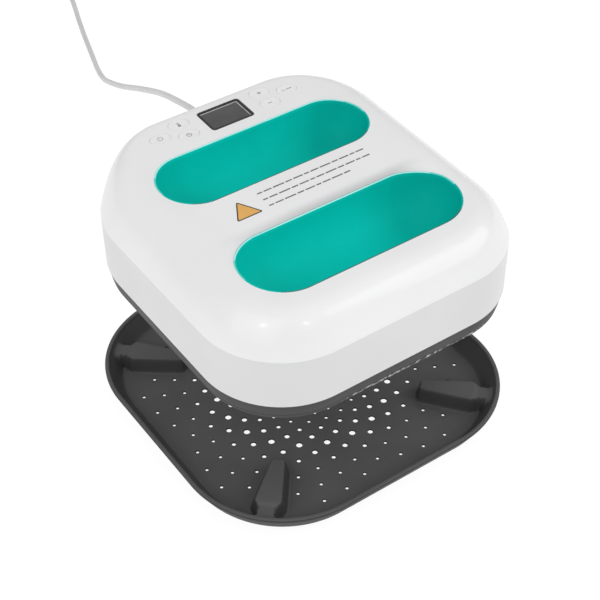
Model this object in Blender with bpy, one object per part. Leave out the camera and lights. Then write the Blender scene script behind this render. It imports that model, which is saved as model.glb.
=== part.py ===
"""Hand-held heat press, held above the perforated stand tray that it rests in.

Metres, +Z up. The origin is on the table, under the centre of the tray. +X runs along the two
grip wells, and +Y points to the back, where the display and the mains cord are.
"""

import math

import bmesh
import bpy
from mathutils import Vector
from mathutils.geometry import delaunay_2d_cdt

GAP = 0.0003  # clearance between neighbouring pieces
CORNER_STEPS = 6

# Stand tray
TRAY_HALF = 0.164
TRAY_RADIUS = 0.0994
TRAY_BOTTOM = 0.0040
TRAY_FLOOR = 0.0056
TRAY_WALL_FOOT = 0.0108  # how far the wall's foot stands inside the rim
TRAY_RIM = 0.0252
FLOOR_INSET = 0.0172
FOOT_RADIUS = 0.009
FOOT_PLACE = 0.098

# Perforations: rings of holes, every other ring turned by half a step
HOLES_PER_RING = 20
LARGEST_RING = 0.0835
RING_STEP = 0.0097
LARGEST_HOLE = 0.0060
SMALLEST_HOLE = 0.0031
HOLE_STEP = 0.0010
FIRST_RING = -5
LAST_RING = 7
HOLE_MARGIN = 0.0065

# Corner supports that carry the hot plate: distance from the centre, base and top half widths, height
RIB_TOP = 0.0210
RIB_STATIONS = (
    (0.1120, 0.0070, 0.0020, 0.0120),
    (0.1150, 0.0115, 0.0045, RIB_TOP - 0.0010),
    (0.1200, 0.0125, 0.0055, RIB_TOP),
    (0.1580, 0.0172, 0.0102, RIB_TOP),
    (0.1650, 0.0182, 0.0112, RIB_TOP),
    (0.1690, 0.0160, 0.0070, 0.0192),
    (0.1715, 0.0080, 0.0050, 0.0190),
)
RIB_REACH = 0.0160  # holes keep clear of this half width

# Heat press. Heights are from the lower edge of the white shell.
SHELL_HALF_X = 0.1487
SHELL_HALF_Y = 0.1546
FRONT_RADIUS = 0.0773
REAR_RADIUS = 0.0905
SHELL_WALL = 0.0028
SIDE_HEIGHT = 0.050
CROWN_HEIGHT = 0.0398
CROWN_SIDE = 0.0443  # how far the crown reaches in from the sides, the front and the back
CROWN_FRONT = 0.0320
CROWN_REAR = 0.0200
CROWN_POWER = 2.8
TOP_SLOPE = 0.028  # the top rises towards the display

# Grip wells: middle, half length and half width of the opening
REAR_WELL = (0.0525, 0.1063, 0.0351)
FRONT_WELL = (-0.0750, 0.1075, 0.0396)
WELL_WALL = 0.0018
WELL_PROFILE = (  # depth below the shell's surface, and how much narrower the well is there
    (0.0, 0.0),
    (0.0150, 0.0018),
    (0.0270, 0.0052),
    (0.0360, 0.0110),
    (0.0420, 0.0185),
    (0.0450, 0.0275),
)

BRIDGE_Y = -0.0090  # middle of the bridge between the wells, which a hand closes round

# Hot underside
RING_HEIGHT = 0.016
PLATE_HALF = 0.127
PLATE_RADIUS = 0.055
PLATE_THICKNESS = 0.010
PLATE_PROUD = 0.0015
ELEMENT_HALF = 0.092
ELEMENT_RADIUS = 0.0034

# Control panel
DISPLAY_Y = 0.1154
DISPLAY_HALF_X = 0.0223
DISPLAY_HALF_Y = 0.0153
BEZEL_WIDTH = 0.0026
KEY_HALF_X = 0.0100
KEY_HALF_Y = 0.0062
KEY_TRAVEL = 0.0006
KEY_DEPTH = 0.0075
KEY_COLUMN = 0.0432  # the pairs of keys beside the display, then the single keys outside them
OUTER_KEY = 0.0676
KEY_Y = 0.1167
KEY_PAIR = 0.0091
KEYS = {
    "power": (-OUTER_KEY, KEY_Y),
    "temperature": (-KEY_COLUMN, KEY_Y + KEY_PAIR),
    "timer": (-KEY_COLUMN, KEY_Y - KEY_PAIR),
    "plus": (KEY_COLUMN, KEY_Y + KEY_PAIR),
    "minus": (KEY_COLUMN, KEY_Y - KEY_PAIR),
    "start": (OUTER_KEY, KEY_Y),
}
BOARD_HEIGHT = 0.0790
BOARD_THICKNESS = 0.0016

# How the press is held: above the tray at rest, and lowered onto the supports when it is put down
LIFT = 0.1197
SHELL_Z = RIB_TOP + GAP + RING_HEIGHT + PLATE_PROUD + LIFT

# Mains cord
CORD_RADIUS = 0.0032
CORD_EXIT = (0.020, SHELL_HALF_Y, SHELL_Z + 0.038)
STRAIN_RELIEF_LENGTH = 0.026
CORD_ROUTE_HANGING = (
    (0.0200, 0.1809, 0.1965),
    (0.0200, 0.2080, 0.1960),
    (0.0212, 0.2420, 0.1880),
    (0.0312, 0.2931, 0.1650),
    (0.0484, 0.3703, 0.1220),
    (0.0674, 0.4568, 0.0720),
    (0.0861, 0.5312, 0.0320),
    (0.0978, 0.5680, 0.0142),
    (0.1075, 0.5990, 0.0054),
    (0.1154, 0.6232, 0.0032),
)
CORD_ROUTE_ON_TABLE = (
    (0.1155, 0.6235, 0.0032),
    (0.1227, 0.6470, 0.0032),
    (0.1332, 0.6810, 0.0032),
    (0.1463, 0.7207, 0.0032),
    (0.1580, 0.7540, 0.0032),
    (0.1648, 0.7755, 0.0032),
    (0.1670, 0.7895, 0.0032),
)
COIL_CENTRE = (0.2110, 0.8145)
COIL_OUTER = 0.0472
COIL_INNER = 0.0274
COIL_BOTTOM = 0.0016
COIL_TOP = 0.0146
CORD_ROUTE_TAIL = (
    (0.2360, 0.8585, 0.0032),
    (0.2500, 0.8570, 0.0036),
    (0.2635, 0.8510, 0.0052),
    (0.2735, 0.8415, 0.0078),
    (0.2784, 0.8302, 0.0098),
    (0.2798, 0.8220, 0.0104),
    (0.2800, 0.8169, 0.0105),
)
PLUG_START = (0.2800, 0.8162, 0.0105)

Z_AXIS = Vector((0.0, 0.0, 1.0))


def clear_scene():
    for old in list(bpy.data.objects):
        bpy.data.objects.remove(old, do_unlink=True)


def material(name, colour, roughness, metallic=0.0):
    made = bpy.data.materials.new(name)
    made.use_nodes = True
    shader = made.node_tree.nodes["Principled BSDF"]
    shader.inputs["Base Color"].default_value = (*colour, 1.0)
    shader.inputs["Roughness"].default_value = roughness
    shader.inputs["Metallic"].default_value = metallic
    return made


def add_object(name, mesh, finish, smooth_angle=35.0):
    """Puts a mesh into the scene as one named piece."""
    piece = bpy.data.objects.new(name, mesh)
    bpy.context.scene.collection.objects.link(piece)
    if finish is not None:
        mesh.materials.append(finish)
    mesh.shade_smooth()
    mesh.set_sharp_from_angle(angle=math.radians(smooth_angle))
    return piece


def helper(piece):
    """Keeps a cutting shape out of the finished model."""
    piece.hide_render = True
    piece.display_type = "WIRE"
    return piece


def mesh_from(bm, name):
    bmesh.ops.recalc_face_normals(bm, faces=bm.faces)
    mesh = bpy.data.meshes.new(name)
    bm.to_mesh(mesh)
    bm.free()
    return mesh


def boolean(piece, other, operation="DIFFERENCE"):
    change = piece.modifiers.new(f"{operation.lower()}_{other.name}", "BOOLEAN")
    change.operation = operation
    change.object = other
    change.solver = "EXACT"


def outline(half_x, half_y, radius, centre=(0.0, 0.0), steps=CORNER_STEPS, rear_radius=None):
    """A rounded rectangle, anticlockwise. Its two rear corners can have a radius of their own."""
    points = []
    for quarter, (side_x, side_y) in enumerate(((1, 1), (-1, 1), (-1, -1), (1, -1))):
        if side_y > 0 and rear_radius is not None:
            quarter_radius = rear_radius
        else:
            quarter_radius = radius
        for step in range(steps + 1):
            angle = math.radians(90 * (quarter + step / steps))
            x = side_x * (half_x - quarter_radius) + quarter_radius * math.cos(angle)
            y = side_y * (half_y - quarter_radius) + quarter_radius * math.sin(angle)
            points.append((centre[0] + x, centre[1] + y))
    return points


def stadium(half_length, half_width, centre=(0.0, 0.0), steps=CORNER_STEPS):
    """A long hole with round ends: a rounded rectangle without straight ends."""
    return outline(half_length, half_width, half_width - 0.0002, centre, steps)


def level(points, height):
    """Lifts a flat outline to a height, a number or a function of x and y."""
    if callable(height):
        return [Vector((x, y, height(x, y))) for x, y in points]
    return [Vector((x, y, height)) for x, y in points]


def loft(name, rings, finish, closed=False):
    """Skins rings of equal length. Open lofts get end faces, closed ones join last to first."""
    bm = bmesh.new()
    loops = [[bm.verts.new(point) for point in ring] for ring in rings]
    pairs = list(zip(loops, loops[1:]))
    if closed:
        pairs.append((loops[-1], loops[0]))
    else:
        bm.faces.new(loops[0])
        bm.faces.new(loops[-1])
    for low, high in pairs:
        count = len(low)
        for i in range(count):
            after = (i + 1) % count
            bm.faces.new((low[i], low[after], high[after], high[i]))
    return add_object(name, mesh_from(bm, name), finish)


def prism(name, points, low, high, finish):
    return loft(name, [level(points, low), level(points, high)], finish)


def box(name, size, centre, finish, bevel=0.0):
    bm = bmesh.new()
    bmesh.ops.create_cube(bm, size=1.0)
    for vert in bm.verts:
        vert.co = Vector(centre) + Vector(vert.co[i] * size[i] for i in range(3))
    if bevel:
        bmesh.ops.bevel(bm, geom=bm.edges[:], offset=bevel, segments=1, affect="EDGES")
    return add_object(name, mesh_from(bm, name), finish)


def turned(name, profile, finish, place, axis=Z_AXIS, sides=16):
    """A round piece: profile lists (radius, height) along its axis, from one end face to the other."""
    turn = Z_AXIS.rotation_difference(Vector(axis))
    rings = []
    for radius, height in profile:
        ring = []
        for side in range(sides):
            angle = 2 * math.pi * side / sides
            point = Vector((radius * math.cos(angle), radius * math.sin(angle), height))
            ring.append(turn @ point + Vector(place))
        rings.append(ring)
    return loft(name, rings, finish)


def smooth_route(points, spacing):
    """Catmull-Rom curve through the points, sampled at even steps."""
    route = [Vector(point) for point in points]
    padded = [2 * route[0] - route[1], *route, 2 * route[-1] - route[-2]]
    fine = []
    for a, b, c, d in zip(padded, padded[1:], padded[2:], padded[3:]):
        for step in range(24):
            t = step / 24
            fine.append(
                0.5 * (2 * b + (c - a) * t + (2 * a - 5 * b + 4 * c - d) * t**2 + (3 * b - a - 3 * c + d) * t**3)
            )
    fine.append(route[-1])
    total = sum((q - p).length for p, q in zip(fine, fine[1:]))
    count = max(2, round(total / spacing))
    even = [fine[0]]
    walked = 0.0
    for p, q in zip(fine, fine[1:]):
        step = (q - p).length
        while walked + step >= len(even) * total / count and len(even) < count:
            even.append(p.lerp(q, (len(even) * total / count - walked) / step))
        walked += step
    even.append(fine[-1])
    return even


def tube(name, points, radius, finish):
    curve = bpy.data.curves.new(name, "CURVE")
    curve.dimensions = "3D"
    curve.bevel_depth = radius
    curve.bevel_resolution = 2
    curve.use_fill_caps = True
    spline = curve.splines.new("POLY")
    spline.points.add(len(points) - 1)
    for place, point in zip(spline.points, points):
        place.co = (*point, 1.0)
    curve.materials.append(finish)
    piece = bpy.data.objects.new(name, curve)
    bpy.context.scene.collection.objects.link(piece)
    return piece


# Stand tray ---------------------------------------------------------------------------------


def tray_outline(inset):
    return outline(TRAY_HALF - inset, TRAY_HALF - inset, TRAY_RADIUS - inset, steps=10)


def depth_inside(x, y, half, radius):
    """Distance from a point to a square's rounded outline, positive inside it."""
    reach_x = abs(x) - (half - radius)
    reach_y = abs(y) - (half - radius)
    outside = math.hypot(max(reach_x, 0.0), max(reach_y, 0.0))
    return radius - outside - min(max(reach_x, reach_y), 0.0)


def rib_direction(number):
    angle = math.radians(45 + 90 * number)
    return Vector((math.cos(angle), math.sin(angle), 0.0))


def near_rib(x, y, clearance):
    for number in range(4):
        along = rib_direction(number)
        distance = x * along.x + y * along.y
        offset = abs(x * along.y - y * along.x)
        inside_length = RIB_STATIONS[0][0] - clearance < distance < RIB_STATIONS[-1][0] + clearance
        if inside_length and offset < RIB_REACH + clearance:
            return True
    return False


def tray_holes():
    """(x, y, radius) of each hole in the tray's floor."""
    holes = []
    floor_half = TRAY_HALF - FLOOR_INSET
    floor_radius = TRAY_RADIUS - FLOOR_INSET
    for ring in range(FIRST_RING, LAST_RING + 1):
        distance = LARGEST_RING + ring * RING_STEP
        radius = max(SMALLEST_HOLE, LARGEST_HOLE - abs(ring) * HOLE_STEP) / 2
        for number in range(HOLES_PER_RING):
            angle = 2 * math.pi * (number + 0.5 * (ring % 2)) / HOLES_PER_RING - math.pi / 2
            x = distance * math.cos(angle)
            y = distance * math.sin(angle)
            if depth_inside(x, y, floor_half, floor_radius) < HOLE_MARGIN:
                continue
            if not near_rib(x, y, radius + 0.0015):
                holes.append((x, y, radius))
    return holes


def hole_outline(x, y, radius):
    sides = 6 if radius > 0.0015 else 4
    angles = [2 * math.pi * side / sides + math.atan2(y, x) for side in range(sides)]
    return [(x + radius * math.cos(angle), y + radius * math.sin(angle)) for angle in angles]


def rib_footprint(number):
    along = rib_direction(number)
    across = Vector((-along.y, along.x, 0.0))
    left = [along * r + across * base for r, base, _, _ in RIB_STATIONS]
    right = [along * r - across * base for r, base, _, _ in reversed(RIB_STATIONS)]
    return [(point.x, point.y) for point in left + right]


def inside_loop(x, y, loop):
    inside = False
    for (x1, y1), (x2, y2) in zip(loop, loop[1:] + loop[:1]):
        if (y1 > y) != (y2 > y) and x < x1 + (y - y1) * (x2 - x1) / (y2 - y1):
            inside = not inside
    return inside


def perforated_sheet(bm, boundary, openings, height):
    """Fills a boundary around its openings, and returns the vertices of each loop in order."""
    loops = [boundary, *openings]
    flat = [Vector(point) for loop in loops for point in loop]
    edges = []
    start = 0
    for loop in loops:
        edges += [(start + i, start + (i + 1) % len(loop)) for i in range(len(loop))]
        start += len(loop)
    points, _, faces, _, _, _ = delaunay_2d_cdt(flat, edges, [], 0, 1e-7)
    verts = [bm.verts.new((point.x, point.y, height)) for point in points]
    for face in faces:
        x = sum(points[i].x for i in face) / len(face)
        y = sum(points[i].y for i in face) / len(face)
        if inside_loop(x, y, boundary) and not any(inside_loop(x, y, loop) for loop in openings):
            bm.faces.new([verts[i] for i in face])
    placed = []
    start = 0
    for loop in loops:
        placed.append(verts[start : start + len(loop)])
        start += len(loop)
    return placed


def join_loops(bm, low, high):
    count = len(low)
    for i in range(count):
        after = (i + 1) % count
        bm.faces.new((low[i], low[after], high[after], high[i]))


def add_rib(bm, base, number):
    """Raises one tapered support from its footprint. Its outer end steps down to the rim."""
    along = rib_direction(number)
    across = Vector((-along.y, along.x, 0.0))
    tops = []
    for side in (1, -1):
        stations = RIB_STATIONS if side == 1 else tuple(reversed(RIB_STATIONS))
        for distance, _, half, height in stations:
            tops.append(bm.verts.new(along * distance + across * (side * half) + Z_AXIS * height))
    join_loops(bm, base, tops)
    count = len(RIB_STATIONS)
    for i in range(count - 1):
        bm.faces.new((tops[i], tops[i + 1], tops[-2 - i], tops[-1 - i]))


def build_tray(finish):
    wall = (
        (TRAY_WALL_FOOT + 0.0020, TRAY_BOTTOM),
        (TRAY_WALL_FOOT - 0.0010, TRAY_BOTTOM + 0.0016),
        (0.0004, TRAY_RIM - 0.0024),
        (0.0004, TRAY_RIM - 0.0010),
        (0.0014, TRAY_RIM),
        (0.0040, TRAY_RIM),
        (0.0052, TRAY_RIM - 0.0012),
        (0.0146, TRAY_FLOOR + 0.0026),
        (FLOOR_INSET, TRAY_FLOOR),
    )
    bm = bmesh.new()
    holes = [hole_outline(*hole) for hole in tray_holes()]
    ribs = [rib_footprint(number) for number in range(4)]
    under = perforated_sheet(bm, tray_outline(wall[0][0]), holes, TRAY_BOTTOM)
    over = perforated_sheet(bm, tray_outline(wall[-1][0]), holes + ribs, TRAY_FLOOR)
    loops = [under[0]]
    for inset, height in wall[1:-1]:
        loops.append([bm.verts.new((x, y, height)) for x, y in tray_outline(inset)])
    loops.append(over[0])
    for low, high in zip(loops, loops[1:]):
        join_loops(bm, low, high)
    for low, high in zip(under[1:], over[1:]):
        join_loops(bm, low, high)
    for number in range(4):
        add_rib(bm, over[1 + len(holes) + number], number)
    return add_object("stand_tray", mesh_from(bm, "stand_tray"), finish)


def build_feet(finish):
    for number in range(4):
        place = rib_direction(number) * FOOT_PLACE * math.sqrt(2)
        profile = ((FOOT_RADIUS - 0.0006, 0.0), (FOOT_RADIUS, 0.0005), (FOOT_RADIUS, TRAY_BOTTOM - GAP))
        turned(f"rubber_foot_{number + 1}", profile, finish, place)


# Heat press ---------------------------------------------------------------------------------


def plan(inset, steps=CORNER_STEPS):
    """The press's plan, inset evenly."""
    half_x = SHELL_HALF_X - inset
    half_y = SHELL_HALF_Y - inset
    return outline(half_x, half_y, FRONT_RADIUS - inset, steps=steps, rear_radius=REAR_RADIUS - inset)


def crown_frame(share, shrink=0.0):
    """Half sizes, corner radii and middle of the crown's ring, from its foot at 0 to its top at 1."""
    side = CROWN_SIDE * share + shrink
    half_x = SHELL_HALF_X - side
    half_y = SHELL_HALF_Y - shrink - share * (CROWN_FRONT + CROWN_REAR) / 2
    middle = share * (CROWN_FRONT - CROWN_REAR) / 2
    return half_x, half_y, FRONT_RADIUS - side, REAR_RADIUS - side, middle


def crown_height(y, share):
    rise = 1 - (1 - share) ** CROWN_POWER
    return SHELL_Z + SIDE_HEIGHT + (CROWN_HEIGHT + TOP_SLOPE * y) * rise


def surface_height(x, y):
    """Height of the shell's outer face over a point of its plan."""
    low = 0.0
    high = 1.0
    for _ in range(30):
        share = (low + high) / 2
        half_x, half_y, front, rear, middle = crown_frame(share)
        radius = rear if y > middle else front
        reach_x = abs(x) - (half_x - radius)
        reach_y = abs(y - middle) - (half_y - radius)
        outside = math.hypot(max(reach_x, 0.0), max(reach_y, 0.0))
        if outside + min(max(reach_x, reach_y), 0.0) < radius:
            low = share
        else:
            high = share
    return crown_height(y, low)


def shell_rings(shrink, base):
    """Rings of the shell's outer face, or of its inner face for a shrink of one wall."""
    rings = [level(plan(shrink), base)]
    for share in (0.0, 0.10, 0.24, 0.42, 0.66, 1.0):
        half_x, half_y, front, rear, middle = crown_frame(share, shrink)
        points = outline(half_x, half_y, front, (0.0, middle), rear_radius=rear)
        rings.append([Vector((x, y, crown_height(y, share) - shrink)) for x, y in points])
    return rings


def build_shell(finish):
    shell = loft("top_shell", shell_rings(0.0, SHELL_Z), finish)
    cavity = helper(loft("cut_cavity", shell_rings(SHELL_WALL, SHELL_Z - 0.02), None))
    for number, place in enumerate(screw_places()):
        boss = turned(f"cut_boss_{number}", ((0.0055, 0.001), (0.0055, 0.12)), None, (*place, SHELL_Z))
        boolean(cavity, helper(boss))
    boolean(shell, cavity)
    top = SHELL_Z + 0.13
    for middle, half_length, half_width in (REAR_WELL, FRONT_WELL):
        points = stadium(half_length + GAP, half_width + GAP, (0.0, middle), 8)
        boolean(shell, helper(prism(f"cut_well_{middle:.3f}", points, SHELL_Z + 0.07, top, None)))
    window = outline(DISPLAY_HALF_X + GAP, DISPLAY_HALF_Y + GAP, 0.0035, (0.0, DISPLAY_Y), 3)
    boolean(shell, helper(prism("cut_window", window, SHELL_Z + 0.08, top, None)))
    for name, place in KEYS.items():
        points = stadium(KEY_HALF_X + GAP, KEY_HALF_Y + GAP, place, 3)
        boolean(shell, helper(prism(f"cut_{name}_key", points, SHELL_Z + 0.085, top, None)))
    hole = ((0.0052, -0.02), (0.0052, 0.02))
    boolean(shell, helper(turned("cut_cord_hole", hole, None, CORD_EXIT, (0.0, 1.0, 0.0))))
    for number, place in enumerate(screw_places()):
        bore = turned(f"cut_bore_{number}", ((0.0019, -0.005), (0.0019, 0.016)), None, (*place, SHELL_Z), sides=10)
        boolean(shell, helper(bore))
    return shell


def build_well(name, well, finish):
    """An open tub: outer wall up from its bottom, over the edge, and down inside."""
    middle, half_length, half_width = well
    outer = []
    inner = []
    for depth, inset in WELL_PROFILE:
        around = stadium(half_length - inset, half_width - inset, (0.0, middle), 8)
        inset += WELL_WALL
        inside = stadium(half_length - inset, half_width - inset, (0.0, middle), 8)
        drop = WELL_WALL if depth > 0 else 0.0
        inner.append([Vector((x, y, surface_height(x, y) - 0.0006 - depth)) for x, y in inside])
        outer.append([Vector((x, y, surface_height(x, y) - 0.0006 - depth - drop)) for x, y in around])
    for rings in (inner, outer):
        base = min(point.z for point in rings[-1])
        for point in rings[-1]:
            point.z = base
    return loft(name, outer[::-1] + inner, finish)


def build_display(black, glass, board):
    surface = surface_height(0.0, DISPLAY_Y)

    def follow(offset):
        return lambda x, y: surface + TOP_SLOPE * (y - DISPLAY_Y) + offset

    middle = (0.0, DISPLAY_Y)
    frame = outline(DISPLAY_HALF_X, DISPLAY_HALF_Y, 0.0032, middle, 3)
    opening = outline(DISPLAY_HALF_X - BEZEL_WIDTH, DISPLAY_HALF_Y - BEZEL_WIDTH, 0.0012, middle, 3)
    rings = [level(frame, follow(-0.0050)), level(frame, follow(0.0002))]
    rings += [level(opening, follow(0.0002)), level(opening, follow(-0.0050))]
    loft("display_bezel", rings, black, closed=True)
    pane = outline(DISPLAY_HALF_X - BEZEL_WIDTH - GAP, DISPLAY_HALF_Y - BEZEL_WIDTH - GAP, 0.0010, middle, 3)
    prism("display_lens", pane, follow(-0.0026), follow(-0.0010), glass)
    prism("lcd_module", pane, follow(-0.0095), follow(-0.0029), board)


def build_keys(finish):
    """Six keycaps, each an oval plunger with a flange that keeps it inside the shell."""
    for name, place in KEYS.items():
        height = surface_height(*place)

        def follow(offset, y0=place[1], z0=height):
            return lambda x, y: z0 + TOP_SLOPE * (y - y0) + offset

        cap = stadium(KEY_HALF_X - 0.0004, KEY_HALF_Y - 0.0004, place, 4)
        stem = stadium(KEY_HALF_X, KEY_HALF_Y, place, 4)
        flange = stadium(KEY_HALF_X + 0.0009, KEY_HALF_Y + 0.0009, place, 4)
        rings = [level(flange, follow(-KEY_DEPTH)), level(flange, follow(-0.0046))]
        rings += [level(stem, follow(-0.0046)), level(stem, follow(0.0000)), level(cap, follow(0.0004))]
        loft(f"{name}_button", rings, finish)


def build_switches(finish):
    for name, (x, y) in KEYS.items():
        top = surface_height(x, y) - TOP_SLOPE * 0.0031 - KEY_DEPTH - KEY_TRAVEL - 2 * GAP
        low = SHELL_Z + BOARD_HEIGHT + BOARD_THICKNESS + GAP
        box(f"{name}_switch", (0.006, 0.006, top - low), (x, y, (top + low) / 2), finish)


def build_control_board(finish):
    centre = (0.0, KEY_Y, SHELL_Z + BOARD_HEIGHT + BOARD_THICKNESS / 2)
    box("control_board", (0.158, 0.034, BOARD_THICKNESS), centre, finish)


def screw_places():
    return [(x * 0.105, y * 0.1275) for x in (-1, 1) for y in (-1, 1)]


def build_base_ring(finish):
    """Dark skirt between the shell and the plate, with a fine lip along its lower edge."""
    outer = ((0.0020, -GAP), (0.0026, -0.0108), (0.0036, -0.0115), (0.0036, -0.0148), (0.0042, -RING_HEIGHT))
    rings = []
    for inset, height in outer:
        rings.append(level(plan(inset, 8), SHELL_Z + height))
    clear = PLATE_HALF + 0.0012
    opening = outline(clear, clear, PLATE_RADIUS + 0.0012, steps=8)
    rings.append(level(opening, SHELL_Z - RING_HEIGHT))
    rings.append(level(opening, SHELL_Z - GAP))
    ring = loft("base_ring", rings, finish, closed=True)
    for number, place in enumerate(screw_places()):
        profile = ((0.0036, -0.02), (0.0036, -0.0055), (0.0019, -0.0055), (0.0019, 0.01))
        boolean(ring, helper(turned(f"cut_screw_{number}", profile, None, (*place, SHELL_Z), sides=12)))


def build_screws(finish):
    for number, place in enumerate(screw_places()):
        profile = ((0.0030, -0.0092), (0.0033, -0.0086), (0.0033, -0.0058), (0.0016, -0.0058), (0.0016, 0.013))
        turned(f"housing_screw_{number + 1}", profile, finish, (*place, SHELL_Z), sides=12)


def build_hot_parts(plate_finish, element_finish, pad_finish, steel):
    bottom = SHELL_Z - RING_HEIGHT - PLATE_PROUD
    top = bottom + PLATE_THICKNESS
    rings = [level(outline(PLATE_HALF - 0.0015, PLATE_HALF - 0.0015, PLATE_RADIUS - 0.0015, steps=8), bottom)]
    for height in (bottom + 0.0015, top):
        rings.append(level(outline(PLATE_HALF, PLATE_HALF, PLATE_RADIUS, steps=8), height))
    loft("heat_plate", rings, plate_finish)

    height = top + GAP + ELEMENT_RADIUS
    sides = 8
    tubes = []
    for side in range(sides):
        angle = 2 * math.pi * (side + 0.5) / sides
        reach = ELEMENT_HALF + ELEMENT_RADIUS * math.cos(angle)
        rise = height + ELEMENT_RADIUS * math.sin(angle)
        tubes.append(level(outline(reach, reach, 0.05 + ELEMENT_RADIUS * math.cos(angle)), rise))
    loft("heating_element", tubes, element_finish, closed=True)

    pad_low = height + ELEMENT_RADIUS + GAP
    prism("insulation_pad", outline(0.118, 0.118, 0.045), pad_low, pad_low + 0.0095, pad_finish)
    shield_low = pad_low + 0.0095 + GAP
    prism("heat_shield", outline(0.122, 0.122, 0.048), shield_low, shield_low + 0.0012, steel)
    box("thermal_cutoff", (0.014, 0.022, 0.0058), (0.030, 0.020, top + GAP + 0.0029), steel, 0.0008)
    probe = ((0.0018, 0.0), (0.0024, 0.0008), (0.0024, 0.026), (0.0018, 0.0268))
    turned("temperature_sensor", probe, element_finish, (-0.045, -0.010, top + 0.0030), (1.0, 0.0, 0.0), 10)
    return shield_low + 0.0012


def build_power_parts(floor, board_finish, black, cream):
    """Power electronics on the heat shield, under the bridge between the wells."""
    box("power_board", (0.100, 0.034, 0.0016), (-0.010, BRIDGE_Y, floor + 0.0058), board_finish)
    box("power_relay", (0.020, 0.016, 0.0160), (-0.030, BRIDGE_Y, floor + 0.0066 + GAP + 0.0080), black, 0.0006)
    box("mains_terminal", (0.026, 0.020, 0.0140), (0.075, BRIDGE_Y, floor + GAP + 0.0070), cream, 0.0008)


def build_strain_relief(finish):
    """Tapered rubber boot on the back wall, with a neck and a flange inside the wall."""
    profile = (
        (0.0068, -SHELL_WALL - GAP - 0.0024),
        (0.0068, -SHELL_WALL - GAP),
        (0.0048, -SHELL_WALL - GAP),
        (0.0048, GAP),
        (0.0082, GAP),
        (0.0080, 0.0028),
        (0.0062, 0.0108),
        (0.0048, STRAIN_RELIEF_LENGTH),
    )
    turned("cord_strain_relief", profile, finish, CORD_EXIT, (0.0, 1.0, 0.0))


# Mains cord ---------------------------------------------------------------------------------


def build_cord(finish, tie_finish):
    spacing = 5 * CORD_RADIUS
    tube("cord_hanging", smooth_route(CORD_ROUTE_HANGING, spacing), CORD_RADIUS, finish)
    tube("cord_on_table", smooth_route(CORD_ROUTE_ON_TABLE, spacing), CORD_RADIUS, finish)
    tube("cord_tail", smooth_route(CORD_ROUTE_TAIL, spacing), CORD_RADIUS, finish)
    bevel = 0.003
    section = (
        (COIL_OUTER - bevel, COIL_BOTTOM),
        (COIL_OUTER, COIL_BOTTOM + bevel),
        (COIL_OUTER, COIL_TOP - bevel),
        (COIL_OUTER - bevel, COIL_TOP),
        (COIL_INNER + bevel, COIL_TOP),
        (COIL_INNER, COIL_TOP - bevel),
        (COIL_INNER, COIL_BOTTOM + bevel),
        (COIL_INNER + bevel, COIL_BOTTOM),
    )
    rings = []
    for radius, height in section:
        angles = [2 * math.pi * side / 28 for side in range(28)]
        ring = [(COIL_CENTRE[0] + radius * math.cos(a), COIL_CENTRE[1] + radius * math.sin(a)) for a in angles]
        rings.append(level(ring, height))
    loft("cord_coil", rings, finish, closed=True)

    # The tie wraps the coil's section on the side of the plug.
    width = 0.0035
    hug = 0.0006
    tie = 0.0007
    sides = ((COIL_INNER - hug, COIL_BOTTOM - hug), (COIL_OUTER + hug, COIL_TOP + hug))
    loops = []
    for grow, y in ((0.0, -width), (tie, -width), (tie, width), (0.0, width)):
        (near, low), (far, high) = sides
        corners = ((near, low), (far, low), (far, high), (near, high))
        signs = ((-1, -1), (1, -1), (1, 1), (-1, 1))
        loop = []
        for (x, z), (sx, sz) in zip(corners, signs):
            loop.append(Vector((COIL_CENTRE[0] + x + sx * grow, COIL_CENTRE[1] + y, z + sz * grow)))
        loops.append(loop)
    loft("cord_tie", loops, tie_finish, closed=True)


def build_plug(rubber, brass):
    """Moulded plug lying beside the coil, its blades pointing back towards the press."""
    start = Vector(PLUG_START)
    sections = ((0.0, 0.0046, 0.0046), (0.016, 0.0060, 0.0058), (0.024, 0.0125, 0.0098), (0.046, 0.0135, 0.0102))
    rings = []
    for along, half_x, half_z in sections:
        points = outline(half_x, half_z, half_z * 0.75, steps=4)
        rings.append([Vector((start.x + x, start.y - along, start.z + z)) for x, z in points])
    loft("plug_body", rings, rubber)
    face = start.y - sections[-1][0] - GAP
    for name, side in (("left", -1), ("right", 1)):
        centre = (start.x + side * 0.00635, face - 0.0085, start.z + 0.002)
        box(f"plug_blade_{name}", (0.0015, 0.017, 0.0063), centre, brass)
    pin = ((0.0023, 0.0), (0.0023, 0.017), (0.0012, 0.020))
    turned("plug_ground_pin", pin, brass, (start.x, face, start.z - 0.0062), (0.0, -1.0, 0.0), 10)


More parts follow.
